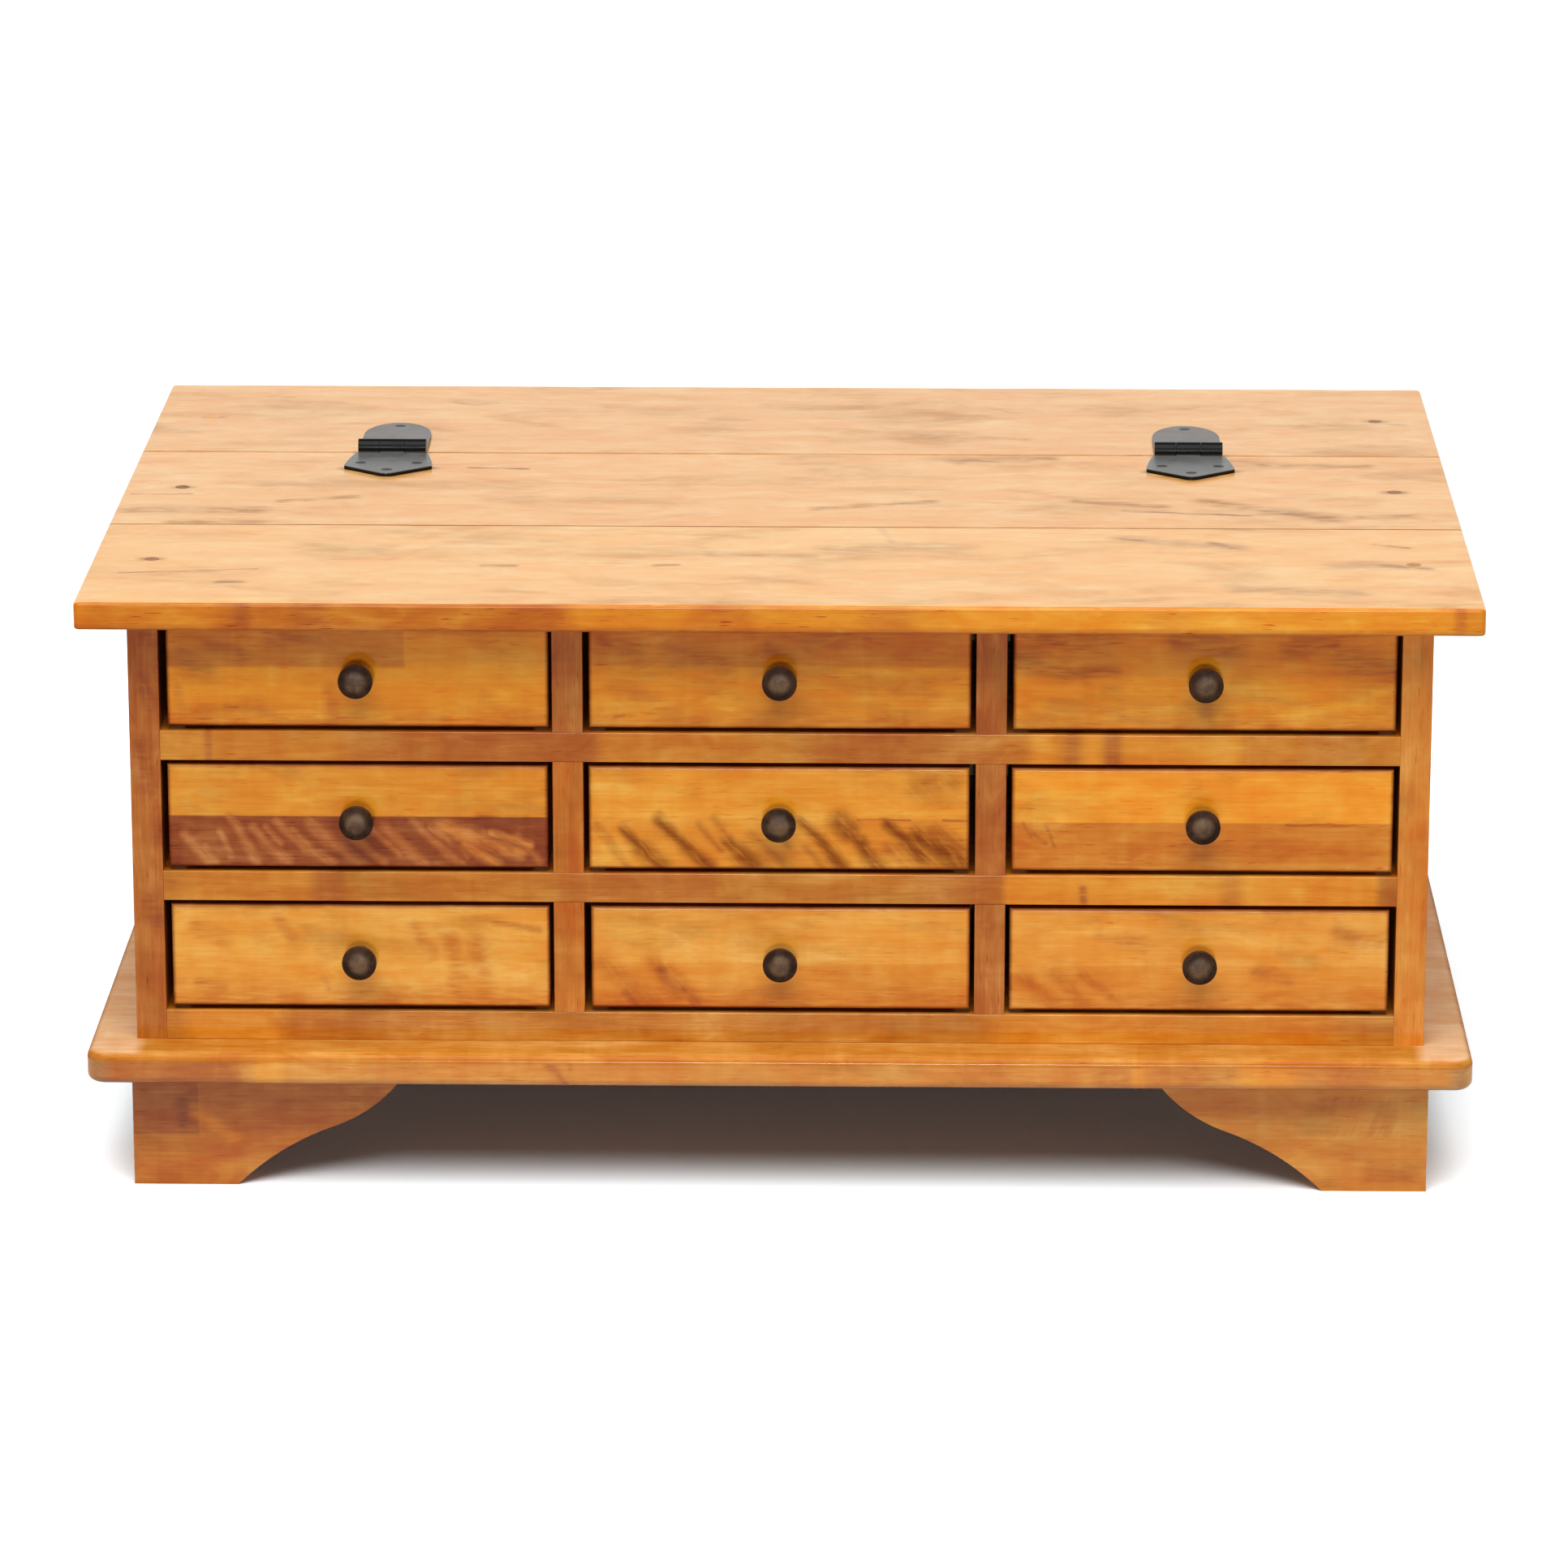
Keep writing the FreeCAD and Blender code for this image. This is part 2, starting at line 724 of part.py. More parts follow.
os.makedirs("parts", exist_ok=True)
build_case()
build_base()
build_top()
build_drawers()
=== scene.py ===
import math

import bpy
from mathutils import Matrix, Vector


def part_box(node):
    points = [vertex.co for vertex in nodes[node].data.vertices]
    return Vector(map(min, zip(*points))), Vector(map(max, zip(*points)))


# A low apothecary chest of honey-stained, lacquered wood with blackened iron hinges and
# dark bronze knobs. Metres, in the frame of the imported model: X right, Y back, Z up.

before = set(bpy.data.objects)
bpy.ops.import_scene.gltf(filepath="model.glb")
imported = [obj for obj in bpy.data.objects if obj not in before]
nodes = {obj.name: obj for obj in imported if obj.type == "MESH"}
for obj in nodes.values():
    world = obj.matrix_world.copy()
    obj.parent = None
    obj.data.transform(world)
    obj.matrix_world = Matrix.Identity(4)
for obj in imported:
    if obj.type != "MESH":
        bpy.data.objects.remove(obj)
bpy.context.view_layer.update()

rows = ("bottom", "middle", "top")
columns = ("left", "centre", "right")


def link(tree, output, target):
    tree.links.new(output, target)


# Camera: the photograph's viewpoint

camera_place = (0.09539, -5.19898, 1.70255)
camera_tilt = 74.0265
camera_turn = 1.0795
camera_lens = 162.714
camera_sensor = 36.0
camera_reach = 100.0


def add_camera():
    data = bpy.data.cameras.new("camera")
    data.lens = camera_lens
    data.sensor_width = camera_sensor
    data.clip_end = camera_reach
    camera = bpy.data.objects.new("camera", data)
    camera.location = camera_place
    camera.rotation_euler = (math.radians(camera_tilt), 0.0, math.radians(camera_turn))
    bpy.context.scene.collection.objects.link(camera)
    bpy.context.scene.camera = camera


# Stage: a white floor and a white room whose ceiling is dark

floor_half = 40.0
floor_colour = 0.42
floor_mirrored_colour = 0.90
floor_seen_colour = (1.48, 1.55, 1.58)
sky_light = 0.06
sky_seen = 1.0
wall_reflected = 1.05
ceiling_reflected = 0.12
wall_top = 0.40
ceiling_start = 0.75

key_from = Vector((-0.03, -0.42, 0.90))
key_strength = 3.6
key_softness = 55.0
fill_from = Vector((0.0, -0.999, 0.05))
fill_strength = 1.0
fill_softness = 8.0


def by_ray(tree, plain, mirrored, seen):
    """One shader as a light source, one in reflections and clear pieces, one to the camera."""
    path = tree.nodes.new("ShaderNodeLightPath")
    shine = tree.nodes.new("ShaderNodeMath")
    shine.operation = "MAXIMUM"
    link(tree, path.outputs["Is Glossy Ray"], shine.inputs[0])
    link(tree, path.outputs["Is Transmission Ray"], shine.inputs[1])
    unseen = tree.nodes.new("ShaderNodeMixShader")
    link(tree, shine.outputs[0], unseen.inputs[0])
    link(tree, plain, unseen.inputs[1])
    link(tree, mirrored, unseen.inputs[2])
    whole = tree.nodes.new("ShaderNodeMixShader")
    link(tree, path.outputs["Is Camera Ray"], whole.inputs[0])
    link(tree, unseen.outputs[0], whole.inputs[1])
    link(tree, seen, whole.inputs[2])
    return whole.outputs[0]


def add_floor():
    mesh = bpy.data.meshes.new("floor")
    corners = [(-floor_half, -floor_half, 0), (floor_half, -floor_half, 0),
               (floor_half, floor_half, 0), (-floor_half, floor_half, 0)]
    mesh.from_pydata(corners, [], [(0, 1, 2, 3)])
    floor = bpy.data.objects.new("floor", mesh)
    bpy.context.scene.collection.objects.link(floor)
    material = bpy.data.materials.new("studio_floor")
    material.use_nodes = True
    tree = material.node_tree
    tree.nodes.clear()

    def paper(colour):
        made = tree.nodes.new("ShaderNodeBsdfDiffuse")
        made.inputs["Color"].default_value = colour + (1.0,)
        return made.outputs[0]

    shader = by_ray(tree, paper((floor_colour,) * 3), paper((floor_mirrored_colour,) * 3),
                    paper(floor_seen_colour))
    out = tree.nodes.new("ShaderNodeOutputMaterial")
    link(tree, shader, out.inputs["Surface"])
    mesh.materials.append(material)


def add_sky():
    world = bpy.data.worlds.new("studio")
    bpy.context.scene.world = world
    world.use_nodes = True
    tree = world.node_tree
    tree.nodes.clear()
    plain = tree.nodes.new("ShaderNodeBackground")
    plain.inputs["Strength"].default_value = sky_light
    seen = tree.nodes.new("ShaderNodeBackground")
    seen.inputs["Strength"].default_value = sky_seen
    mirrored = tree.nodes.new("ShaderNodeBackground")
    place = tree.nodes.new("ShaderNodeTexCoord")
    parts = tree.nodes.new("ShaderNodeSeparateXYZ")
    link(tree, place.outputs["Generated"], parts.inputs[0])
    room = tree.nodes.new("ShaderNodeMapRange")
    room.interpolation_type = "SMOOTHSTEP"
    link(tree, parts.outputs[2], room.inputs["Value"])
    room.inputs["From Min"].default_value = wall_top
    room.inputs["From Max"].default_value = ceiling_start
    room.inputs["To Min"].default_value = wall_reflected
    room.inputs["To Max"].default_value = ceiling_reflected
    link(tree, room.outputs[0], mirrored.inputs["Strength"])
    shader = by_ray(tree, plain.outputs[0], mirrored.outputs[0], seen.outputs[0])
    out = tree.nodes.new("ShaderNodeOutputWorld")
    link(tree, shader, out.inputs["Surface"])


def add_sun(name, toward, strength, softness):
    data = bpy.data.lights.new(name, "SUN")
    data.energy = strength
    data.angle = math.radians(softness)
    lamp = bpy.data.objects.new(name, data)
    lamp.rotation_euler = toward.to_track_quat("Z", "Y").to_euler()
    bpy.context.scene.collection.objects.link(lamp)


# Materials


def streak_group():
    """Node group: 1 on the line from Start to End, fading to 0 at Width from it."""
    tree = bpy.data.node_groups.new("streak", "ShaderNodeTree")
    for name in ("Place", "Start", "End"):
        tree.interface.new_socket(name, in_out="INPUT", socket_type="NodeSocketVector")
    tree.interface.new_socket("Width", in_out="INPUT", socket_type="NodeSocketFloat")
    tree.interface.new_socket("Mask", in_out="OUTPUT", socket_type="NodeSocketFloat")
    given = tree.nodes.new("NodeGroupInput").outputs

    def vector_math(operation, *inputs):
        made = tree.nodes.new("ShaderNodeVectorMath")
        made.operation = operation
        for index, value in enumerate(inputs):
            link(tree, value, made.inputs[index])
        return made

    run = vector_math("SUBTRACT", given["End"], given["Start"]).outputs[0]
    from_start = vector_math("SUBTRACT", given["Place"], given["Start"]).outputs[0]
    along = vector_math("DOT_PRODUCT", from_start, run).outputs["Value"]
    whole = vector_math("DOT_PRODUCT", run, run).outputs["Value"]
    share = tree.nodes.new("ShaderNodeMath")
    share.operation = "DIVIDE"
    share.use_clamp = True
    link(tree, along, share.inputs[0])
    link(tree, whole, share.inputs[1])
    nearest = vector_math("SCALE", run)
    link(tree, share.outputs[0], nearest.inputs["Scale"])
    away = vector_math("SUBTRACT", from_start, nearest.outputs[0]).outputs[0]
    distance = vector_math("LENGTH", away).outputs["Value"]
    fade = tree.nodes.new("ShaderNodeMapRange")
    fade.interpolation_type = "SMOOTHSTEP"
    link(tree, distance, fade.inputs["Value"])
    link(tree, given["Width"], fade.inputs["From Max"])
    fade.inputs["To Min"].default_value = 1.0
    fade.inputs["To Max"].default_value = 0.0
    out = tree.nodes.new("NodeGroupOutput")
    link(tree, fade.outputs[0], out.inputs["Mask"])
    return tree


streak_tree = streak_group()


class Paint:
    """One material, with short calls that add nodes to it and link them."""

    def __init__(self, name):
        self.material = bpy.data.materials.new(name)
        self.material.use_nodes = True
        self.tree = self.material.node_tree
        self.shader = self.tree.nodes["Principled BSDF"]
        self.place = self.tree.nodes.new("ShaderNodeTexCoord").outputs["Object"]
        parts = self.node("ShaderNodeSeparateXYZ", Vector=self.place)
        self.axis = {"X": parts.outputs[0], "Y": parts.outputs[1], "Z": parts.outputs[2]}
        self.dull = None

    def feed(self, socket, value):
        if isinstance(value, bpy.types.NodeSocket):
            self.tree.links.new(value, socket)
        elif isinstance(value, tuple) and len(value) == 3 and socket.type == "RGBA":
            socket.default_value = value + (1.0,)
        else:
            socket.default_value = value

    def node(self, kind, **inputs):
        made = self.tree.nodes.new(kind)
        for key, value in inputs.items():
            self.feed(made.inputs[key], value)
        return made

    def math(self, operation, a, b=0.0, clamp=False):
        made = self.tree.nodes.new("ShaderNodeMath")
        made.operation = operation
        made.use_clamp = clamp
        self.feed(made.inputs[0], a)
        self.feed(made.inputs[1], b)
        return made.outputs[0]

    def spread(self, value, low, high, to_low=0.0, to_high=1.0, smooth=True):
        """Map low..high to to_low..to_high, held at both ends."""
        made = self.tree.nodes.new("ShaderNodeMapRange")
        made.interpolation_type = "SMOOTHSTEP" if smooth else "LINEAR"
        self.feed(made.inputs["Value"], value)
        made.inputs["From Min"].default_value = low
        made.inputs["From Max"].default_value = high
        made.inputs["To Min"].default_value = to_low
        made.inputs["To Max"].default_value = to_high
        return made.outputs[0]

    def scaled(self, scale, shift=(0.0, 0.0, 0.0), vector=None):
        """The place on the piece, stretched by scale and moved by shift."""
        made = self.tree.nodes.new("ShaderNodeMapping")
        self.feed(made.inputs["Vector"], vector or self.place)
        made.inputs["Scale"].default_value = scale
        made.inputs["Location"].default_value = shift
        return made.outputs[0]

    def turned(self, axis, degrees, vector):
        made = self.tree.nodes.new("ShaderNodeMapping")
        self.feed(made.inputs["Vector"], vector)
        rotation = [0.0, 0.0, 0.0]
        rotation["XYZ".index(axis)] = math.radians(degrees)
        made.inputs["Rotation"].default_value = rotation
        return made.outputs[0]

    def noise(self, vector, scale=1.0, detail=2.0, roughness=0.5, distortion=0.0, out="Fac"):
        made = self.node("ShaderNodeTexNoise", Vector=vector, Scale=scale, Detail=detail,
                         Roughness=roughness, Distortion=distortion)
        return made.outputs[out]

    def mix(self, factor, a, b, kind="MIX"):
        made = self.tree.nodes.new("ShaderNodeMix")
        made.data_type = "RGBA"
        made.blend_type = kind
        self.feed(made.inputs[0], factor)
        self.feed(made.inputs[6], a)
        self.feed(made.inputs[7], b)
        return made.outputs[2]

    def deepen(self, colour, depth):
        """Deeper stain: every channel raised to the power depth, which also reddens it."""
        return self.node("ShaderNodeGamma", Color=colour, Gamma=depth).outputs[0]

    def wavering(self, amount, scale):
        """The place, moved about a little by a soft noise."""
        drift = self.noise(self.place, scale, 2.0, out="Color")
        centred = self.tree.nodes.new("ShaderNodeVectorMath")
        centred.operation = "SUBTRACT"
        self.feed(centred.inputs[0], drift)
        centred.inputs[1].default_value = (0.5, 0.5, 0.5)
        moved = self.tree.nodes.new("ShaderNodeVectorMath")
        moved.operation = "MULTIPLY_ADD"
        self.feed(moved.inputs[0], centred.outputs[0])
        moved.inputs[1].default_value = (amount, amount, amount)
        self.feed(moved.inputs[2], self.place)
        return moved.outputs[0]

    def between(self, axis, low, high, soft):
        rise = self.spread(self.axis[axis], low - soft, low + soft)
        fall = self.spread(self.axis[axis], high - soft, high + soft, 1.0, 0.0)
        return self.math("MULTIPLY", rise, fall)

    def streak(self, place, start, end, width):
        made = self.tree.nodes.new("ShaderNodeGroup")
        made.node_tree = streak_tree
        self.feed(made.inputs["Place"], place)
        made.inputs["Start"].default_value = start
        made.inputs["End"].default_value = end
        made.inputs["Width"].default_value = width
        return made.outputs[0]

    def lay(self, mask, colour, tone, dull):
        """Lay a tone over the colour where the mask is; dull takes lacquer off there."""
        if dull:
            loss = self.math("MULTIPLY", mask, dull)
            self.dull = loss if self.dull is None else self.math("MAXIMUM", self.dull, loss)
        return self.mix(mask, colour, tone)

    def bump(self, height, strength, distance):
        made = self.node("ShaderNodeBump", Height=height, Strength=strength, Distance=distance)
        self.tree.links.new(made.outputs[0], self.shader.inputs["Normal"])


def stretch(grain, along, across):
    return tuple(along if axis == grain else across for axis in "XYZ")


def in_plane(plane, a, b):
    point = {"X": 0.0, "Y": 0.0, "Z": 0.0}
    point[plane[0]] = a
    point[plane[1]] = b
    return (point["X"], point["Y"], point["Z"])


# Marks: each of these calls gives a mark, which lays one tone over a wood's colour.
# everywhere is a distance past every edge of the chest.

everywhere = 2.0
top_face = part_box("rear_top_board")[1].z
top_skin = 0.003
waver_size = 45.0
flat_grain = (40.0, 130.0, 130.0)
front_grain = (45.0, 420.0, 420.0)
sharpest_end = 0.0015
rib_period = 0.0032
rib_waver = 0.008
rib_waver_size = 30.0
rib_stretch = 0.14


def ribbing(paint, lean, period, low=0.30, high=0.55, seed=0.0, least=0.0):
    """Fine slanting ribs of figure in the XZ plane, least to 1."""
    slanted = paint.turned("Y", lean, paint.wavering(rib_waver, rib_waver_size))
    scale = (1.0 / period, 1.0 / period, rib_stretch / period)
    ribs = paint.noise(paint.scaled(scale, (seed, seed, seed), slanted), 1.0, 2.0, 0.55)
    return paint.spread(ribs, low, high, least, 1.0)


def stave_and_painted_light(x0, x1, y0, y1, tone, plane="XZ", strength=1.0, soft=0.0006, dull=0.0):
    """A rectangle of another tone in the plane: a glued piece, and at some calls painted shade or a
    painted reflection.
    """

    def mark(paint, colour):
        wide = paint.between(plane[0], x0, x1, soft)
        high = paint.between(plane[1], y0, y1, min(soft, sharpest_end))
        mask = paint.math("MULTIPLY", paint.math("MULTIPLY", wide, high), strength)
        return paint.lay(mask, colour, tone, dull)

    return mark


def streaks(lines, tone, plane="XZ", strength=1.0, waver=0.006, dull=0.0, lean=0.0):
    """Soft lines in the plane: (x, y, x, y, width) each, broken up along the grain or,
    where they lean, by slanting ribs. On the top they stay in its upper skin."""

    def mark(paint, colour):
        keep = tuple(1.0 if axis in plane else 0.0 for axis in "XYZ")
        flat = paint.scaled(keep, vector=paint.wavering(waver, waver_size))
        total = None
        for x0, y0, x1, y1, width in lines:
            start = in_plane(plane, x0, y0)
            end = in_plane(plane, x1, y1)
            mask = paint.streak(flat, start, end, width)
            total = mask if total is None else paint.math("MAXIMUM", total, mask)
        if lean:
            broken = ribbing(paint, lean, rib_period, 0.32, 0.54, least=0.62)
        else:
            grain = flat_grain if plane == "XY" else front_grain
            broken = paint.spread(paint.noise(paint.scaled(grain), 1.0, 2.0),
                                  0.36, 0.60, 0.40, 1.0)
        total = paint.math("MULTIPLY", total, broken)
        if plane == "XY":
            skin_end = top_face - top_skin
            skin = paint.spread(paint.axis["Z"], skin_end - 0.001, skin_end + 0.001)
            total = paint.math("MULTIPLY", total, skin)
        return paint.lay(paint.math("MULTIPLY", total, strength), colour, tone, dull)

    return mark


def rim(low, high, width, tone, strength, dull):
    """Darker, duller border round a face in the XZ plane."""

    def mark(paint, colour):
        wide = paint.between("X", low.x + width, high.x - width, width)
        tall = paint.between("Z", low.z + width, high.z - width, width)
        inside = paint.math("MULTIPLY", wide, tall)
        mask = paint.math("MULTIPLY", paint.math("SUBTRACT", 1.0, inside), strength)
        return paint.lay(mask, colour, tone, dull)

    return mark


def curl(tone, x0, x1, z0, z1, lean, period, strength, seed=0.0, low=0.50, high=0.66):
    """Irregular slanting stripes of figure inside a rectangle of the XZ plane."""

    def mark(paint, colour):
        wide = paint.between("X", x0, x1, 0.006)
        tall = paint.between("Z", z0, z1, 0.0006)
        ribs = ribbing(paint, lean, period, low, high, seed)
        mask = paint.math("MULTIPLY", paint.math("MULTIPLY", wide, tall), ribs)
        return paint.lay(paint.math("MULTIPLY", mask, strength), colour, tone, 0.0)

    return mark


def seam(y, half_width, tone):
    """Open joint between two top boards, its arrises worn bare of lacquer."""

    def mark(paint, colour):
        away = paint.math("ABSOLUTE", paint.math("SUBTRACT", paint.axis["Y"], y))
        mask = paint.spread(away, half_width * 0.7, half_width * 1.3, 1.0, 0.0)
        return paint.lay(mask, colour, tone, 1.0)

    return mark


# Stains
honey = (0.76, 0.275, 0.018)
amber = (0.65, 0.210, 0.013)
copper = (0.52, 0.145, 0.011)
russet = (0.42, 0.113, 0.013)
umber = (0.30, 0.060, 0.008)
bark = (0.20, 0.040, 0.006)
patina = (0.36, 0.150, 0.022)
worn_patina = (0.48, 0.235, 0.080)
# Painted shadow round the front of the hinge leaves.
leaf_shadow_tone = (0.10, 0.045, 0.020)
raw = (0.66, 0.44, 0.24)

wood_roughness = 0.45
patina_limits = (0.46, 0.74)
fleck_size = (60.0, 900.0)
fleck_limits = (0.66, 0.80)
fibre_height = 0.0002
fibre_bump = 0.10
usual_look = {
    "streak": 0.28, "fibre": 0.20, "cloud": 0.34, "mottle": 0.30, "ripple": 0.14, "band": 0.0,
    "fleck": 0.40, "fine": 1.0, "strips": None, "coat": 0.5, "shine": 0.10,
    "patina": 0.42, "patina_tone": patina, "patina_size": (13.0, 34.0), "wear": 0.3,
}
raw_look = {"cloud": 0.12, "streak": 0.12, "mottle": 0.0, "ripple": 0.0, "fleck": 0.15,
            "coat": 0.0, "patina": 0.0}
top_look = {"streak": 0.24, "cloud": 0.32, "mottle": 0.34, "fine": 1.4, "fleck": 0.7,
            "coat": 1.0, "shine": 0.22, "ripple": 0.05, "patina": 0.56,
            "patina_tone": worn_patina, "patina_size": (8.0, 19.0), "wear": 0.50}


def wood(name, grain, tone, seed, marks=(), **look):
    """Lacquered board whose grain runs along one axis, with marks laid over its tone."""
    look = {**usual_look, **look}
    paint = Paint(name)
    shift = (seed * 1.37, seed * 2.11, seed * 0.73)
    fine = look["fine"]
    parts = {
        "streak": (stretch(grain, 3.0 * fine, 42.0 * fine), 3.0, 0.6),
        "fibre": (stretch(grain, 22.0, 700.0), 2.0, 0.0),
        "cloud": (stretch(grain, 10.0, 26.0), 2.5, 0.8),
        "mottle": (stretch(grain, 28.0, 75.0), 3.0, 1.0),
        "ripple": (stretch(grain, 55.0, 9.0), 2.0, 0.9),
        "band": (stretch(grain, 17.0, 3.0), 2.0, 0.3),
    }
    colour = tone
    if look["patina"]:
        spots = paint.scaled(stretch(grain, *look["patina_size"]), shift[::-1])
        mask = paint.spread(paint.noise(spots, 1.0, 4.0, 0.62, 0.5), *patina_limits, 0.0,
                            look["patina"])
        colour = paint.lay(mask, colour, look["patina_tone"], look["wear"])
    for mark in marks:
        colour = mark(paint, colour)
    depth = 1.0
    noises = {}
    for key, (scale, detail, distortion) in parts.items():
        if look[key]:
            noises[key] = paint.noise(paint.scaled(scale, shift), 1.0, detail, 0.55, distortion)
            swing = paint.math("MULTIPLY", paint.math("SUBTRACT", noises[key], 0.5),
                               2.0 * look[key])
            depth = paint.math("ADD", swing, depth)
    flecks = paint.noise(paint.scaled(stretch(grain, *fleck_size), shift), 1.0, 1.0)
    depth = paint.math("ADD", depth, paint.spread(flecks, *fleck_limits, 0.0, look["fleck"]))
    if look["strips"]:
        axis, width, swing = look["strips"]
        cell = paint.math("FLOOR", paint.math("DIVIDE", paint.axis[axis], width))
        pick = paint.tree.nodes.new("ShaderNodeTexWhiteNoise")
        pick.noise_dimensions = "1D"
        paint.feed(pick.inputs["W"], paint.math("ADD", cell, seed))
        shade = paint.math("SUBTRACT", pick.outputs["Value"], 0.5)
        depth = paint.math("ADD", depth, paint.math("MULTIPLY", shade, 2.0 * swing))
    paint.feed(paint.shader.inputs["Base Color"], paint.deepen(colour, depth))
    paint.shader.inputs["Roughness"].default_value = wood_roughness
    paint.shader.inputs["Specular IOR Level"].default_value = 0.0
    if paint.dull is None:
        paint.shader.inputs["Coat Weight"].default_value = look["coat"]
    else:
        kept = paint.math("SUBTRACT", 1.0, paint.dull, True)
        paint.feed(paint.shader.inputs["Coat Weight"], paint.math("MULTIPLY", kept, look["coat"]))
    paint.shader.inputs["Coat Roughness"].default_value = look["shine"]
    paint.bump(noises["fibre"], fibre_bump, fibre_height)
    return paint.material


iron_black = (0.005, 0.005, 0.005)
leaf_thickness = 0.003
rear_leaf_grey = (0.150, 0.130, 0.115)
lid_leaf_grey = (0.165, 0.165, 0.160)

knob_face = (0.0045, 0.0095)
knob_gloss_end = (0.0050, 0.0095)
knob_rim = (0.0120, 0.0124)
knob_rim_tone = (0.070, 0.026, 0.014)


def iron(name, leaf_top, rubbed_and_lit):
    """Blackened iron: grey on the flat tops of the leaves, partly worn iron and partly a painted
    reflection of the bright room; black on their edges and the barrel, which also paints them in
    shade.
    """
    paint = Paint(name)
    tint = paint.noise(paint.place, 70.0, 3.0, 0.6)
    dents = paint.noise(paint.place, 160.0, 1.0, 0.5)
    # The grey of the flat leaf tops is partly painted reflection; the black of the edges and barrel
    # is partly painted shade.
    flat = paint.between("Z", leaf_top - 0.0005, leaf_top + 0.0008, 0.0003)
    leaf = paint.mix(tint, tuple(0.5 * channel for channel in rubbed_and_lit), rubbed_and_lit)
    paint.feed(paint.shader.inputs["Base Color"], paint.mix(flat, iron_black, leaf))
    paint.feed(paint.shader.inputs["Roughness"], paint.spread(tint, 0.3, 0.7, 0.26, 0.38, False))
    paint.feed(paint.shader.inputs["Specular IOR Level"], paint.spread(flat, 0.0, 1.0, 0.10, 0.7))
    paint.bump(dents, 0.20, 0.0005)
    return paint.material


def steel(name):
    """Blackened screw steel."""
    paint = Paint(name)
    tint = paint.noise(paint.place, 300.0, 2.0, 0.6)
    paint.feed(paint.shader.inputs["Base Color"],
               paint.mix(tint, (0.012, 0.011, 0.010), (0.030, 0.028, 0.026)))
    paint.shader.inputs["Roughness"].default_value = 0.40
    paint.bump(tint, 0.15, 0.0003)
    return paint.material


def bronze(name, x, z):
    """Antique bronze knob: olive grey face, partly worn bronze and partly a painted reflection,
    dark brown edge, reddish rim.
    """
    paint = Paint(name)
    across = paint.math("SUBTRACT", paint.axis["X"], x)
    up = paint.math("SUBTRACT", paint.axis["Z"], z)
    square = paint.math("ADD", paint.math("MULTIPLY", across, across),
                        paint.math("MULTIPLY", up, up))
    radius = paint.math("SQRT", square)
    tint = paint.spread(paint.noise(paint.place, 130.0, 3.0, 0.6), 0.35, 0.65)
    # The lighter face is partly a painted reflection.
    face = paint.mix(tint, (0.056, 0.025, 0.009), (0.124, 0.066, 0.028))
    ring = paint.mix(tint, (0.020, 0.009, 0.005), (0.048, 0.022, 0.012))
    colour = paint.mix(paint.spread(radius, *knob_face), face, ring)
    colour = paint.mix(paint.spread(radius, *knob_rim), colour, knob_rim_tone)
    paint.feed(paint.shader.inputs["Base Color"], colour)
    paint.feed(paint.shader.inputs["Specular IOR Level"],
               paint.spread(radius, *knob_gloss_end, 0.26, 0.06))
    paint.shader.inputs["Roughness"].default_value = 0.45
    paint.bump(tint, 0.12, 0.0003)
    return paint.material


def dress(name, material):
    piece = nodes[name]
    for slot in piece.material_slots:
        slot.material = material
    if not piece.material_slots:
        piece.data.materials.append(material)


def middle(name):
    low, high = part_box(name)
    return (low + high) / 2


# Drawers: each front is one or two glued strips, with the figure that shows in them. Marks
# are placed in mm, and beyond is a distance past every edge of a front.

border_width = 0.0017
# Border tone: partly stain, partly painted shade at the arrises and gaps.
border_stain_and_shade = (0.17, 0.024, 0.006)
beyond = 200

def from_drawer(row, column):
    """Calls for marks on a drawer front, in mm from the middle of its lower edge, and for its
    outline: darker towards the bottom on the top and bottom rows, a painted shadow of the lid along
    the top row's upper edge, and a darker, duller border that is partly stain and partly painted
    shade at the arrises and in the gaps."""
    name = "drawer_front_" + row + "_" + column
    low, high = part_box(name)
    x = middle(name).x

    def at(*lines):
        return [(x + x0 / 1000, low.z + z0 / 1000, x + x1 / 1000, low.z + z1 / 1000, w / 1000)
                for x0, z0, x1, z1, w in lines]

    def strip(x0, x1, z0, z1, tone, strength=1.0, soft=0.6):
        return stave_and_painted_light(x + x0 / 1000, x + x1 / 1000, low.z + z0 / 1000, low.z + z1 / 1000,
                     tone, "XZ", strength, soft / 1000)

    outline = []
    # The top and bottom rows are darker towards the bottom of the front.
    if row != "middle":
        outline.append(streaks(at((-130, 0, 130, 0, 27)), copper, "XZ", 0.75))
    # Painted shadow of the lid's overhang along the top of the top row's fronts.
    if row == "top":
        height = 1000 * (high.z - low.z)
        outline.append(streaks(at((-130, height, 130, height, 15)), umber, "XZ", 0.50))
    # Darker, duller border: partly stain, partly painted shade at the arrises and in the gaps round
    # the front.
    outline.append(rim(low, high, border_width, border_stain_and_shade, 0.80, 0.9))
    return at, strip, outline


def top_left_marks(at, strip):
    return [
        strip(-beyond, 34, 44, beyond, copper, 0.75, 1.5),
        strip(34, beyond, 48, beyond, amber, 0.5, 1.5),
        streaks(at((-125, 50, -108, 42, 14), (-104, 60, -84, 52, 12), (-60, 66, -20, 62, 12)),
                umber, "XZ", 0.60),
        streaks(at((-28, 50, -20, 62, 8)), amber, "XZ", 0.6),
        streaks(at((-20, 28, -18, 8, 9), (-95, 14, -60, 10, 5), (-130, 30, -126, 8, 6)),
                copper, "XZ", 0.65),
    ]


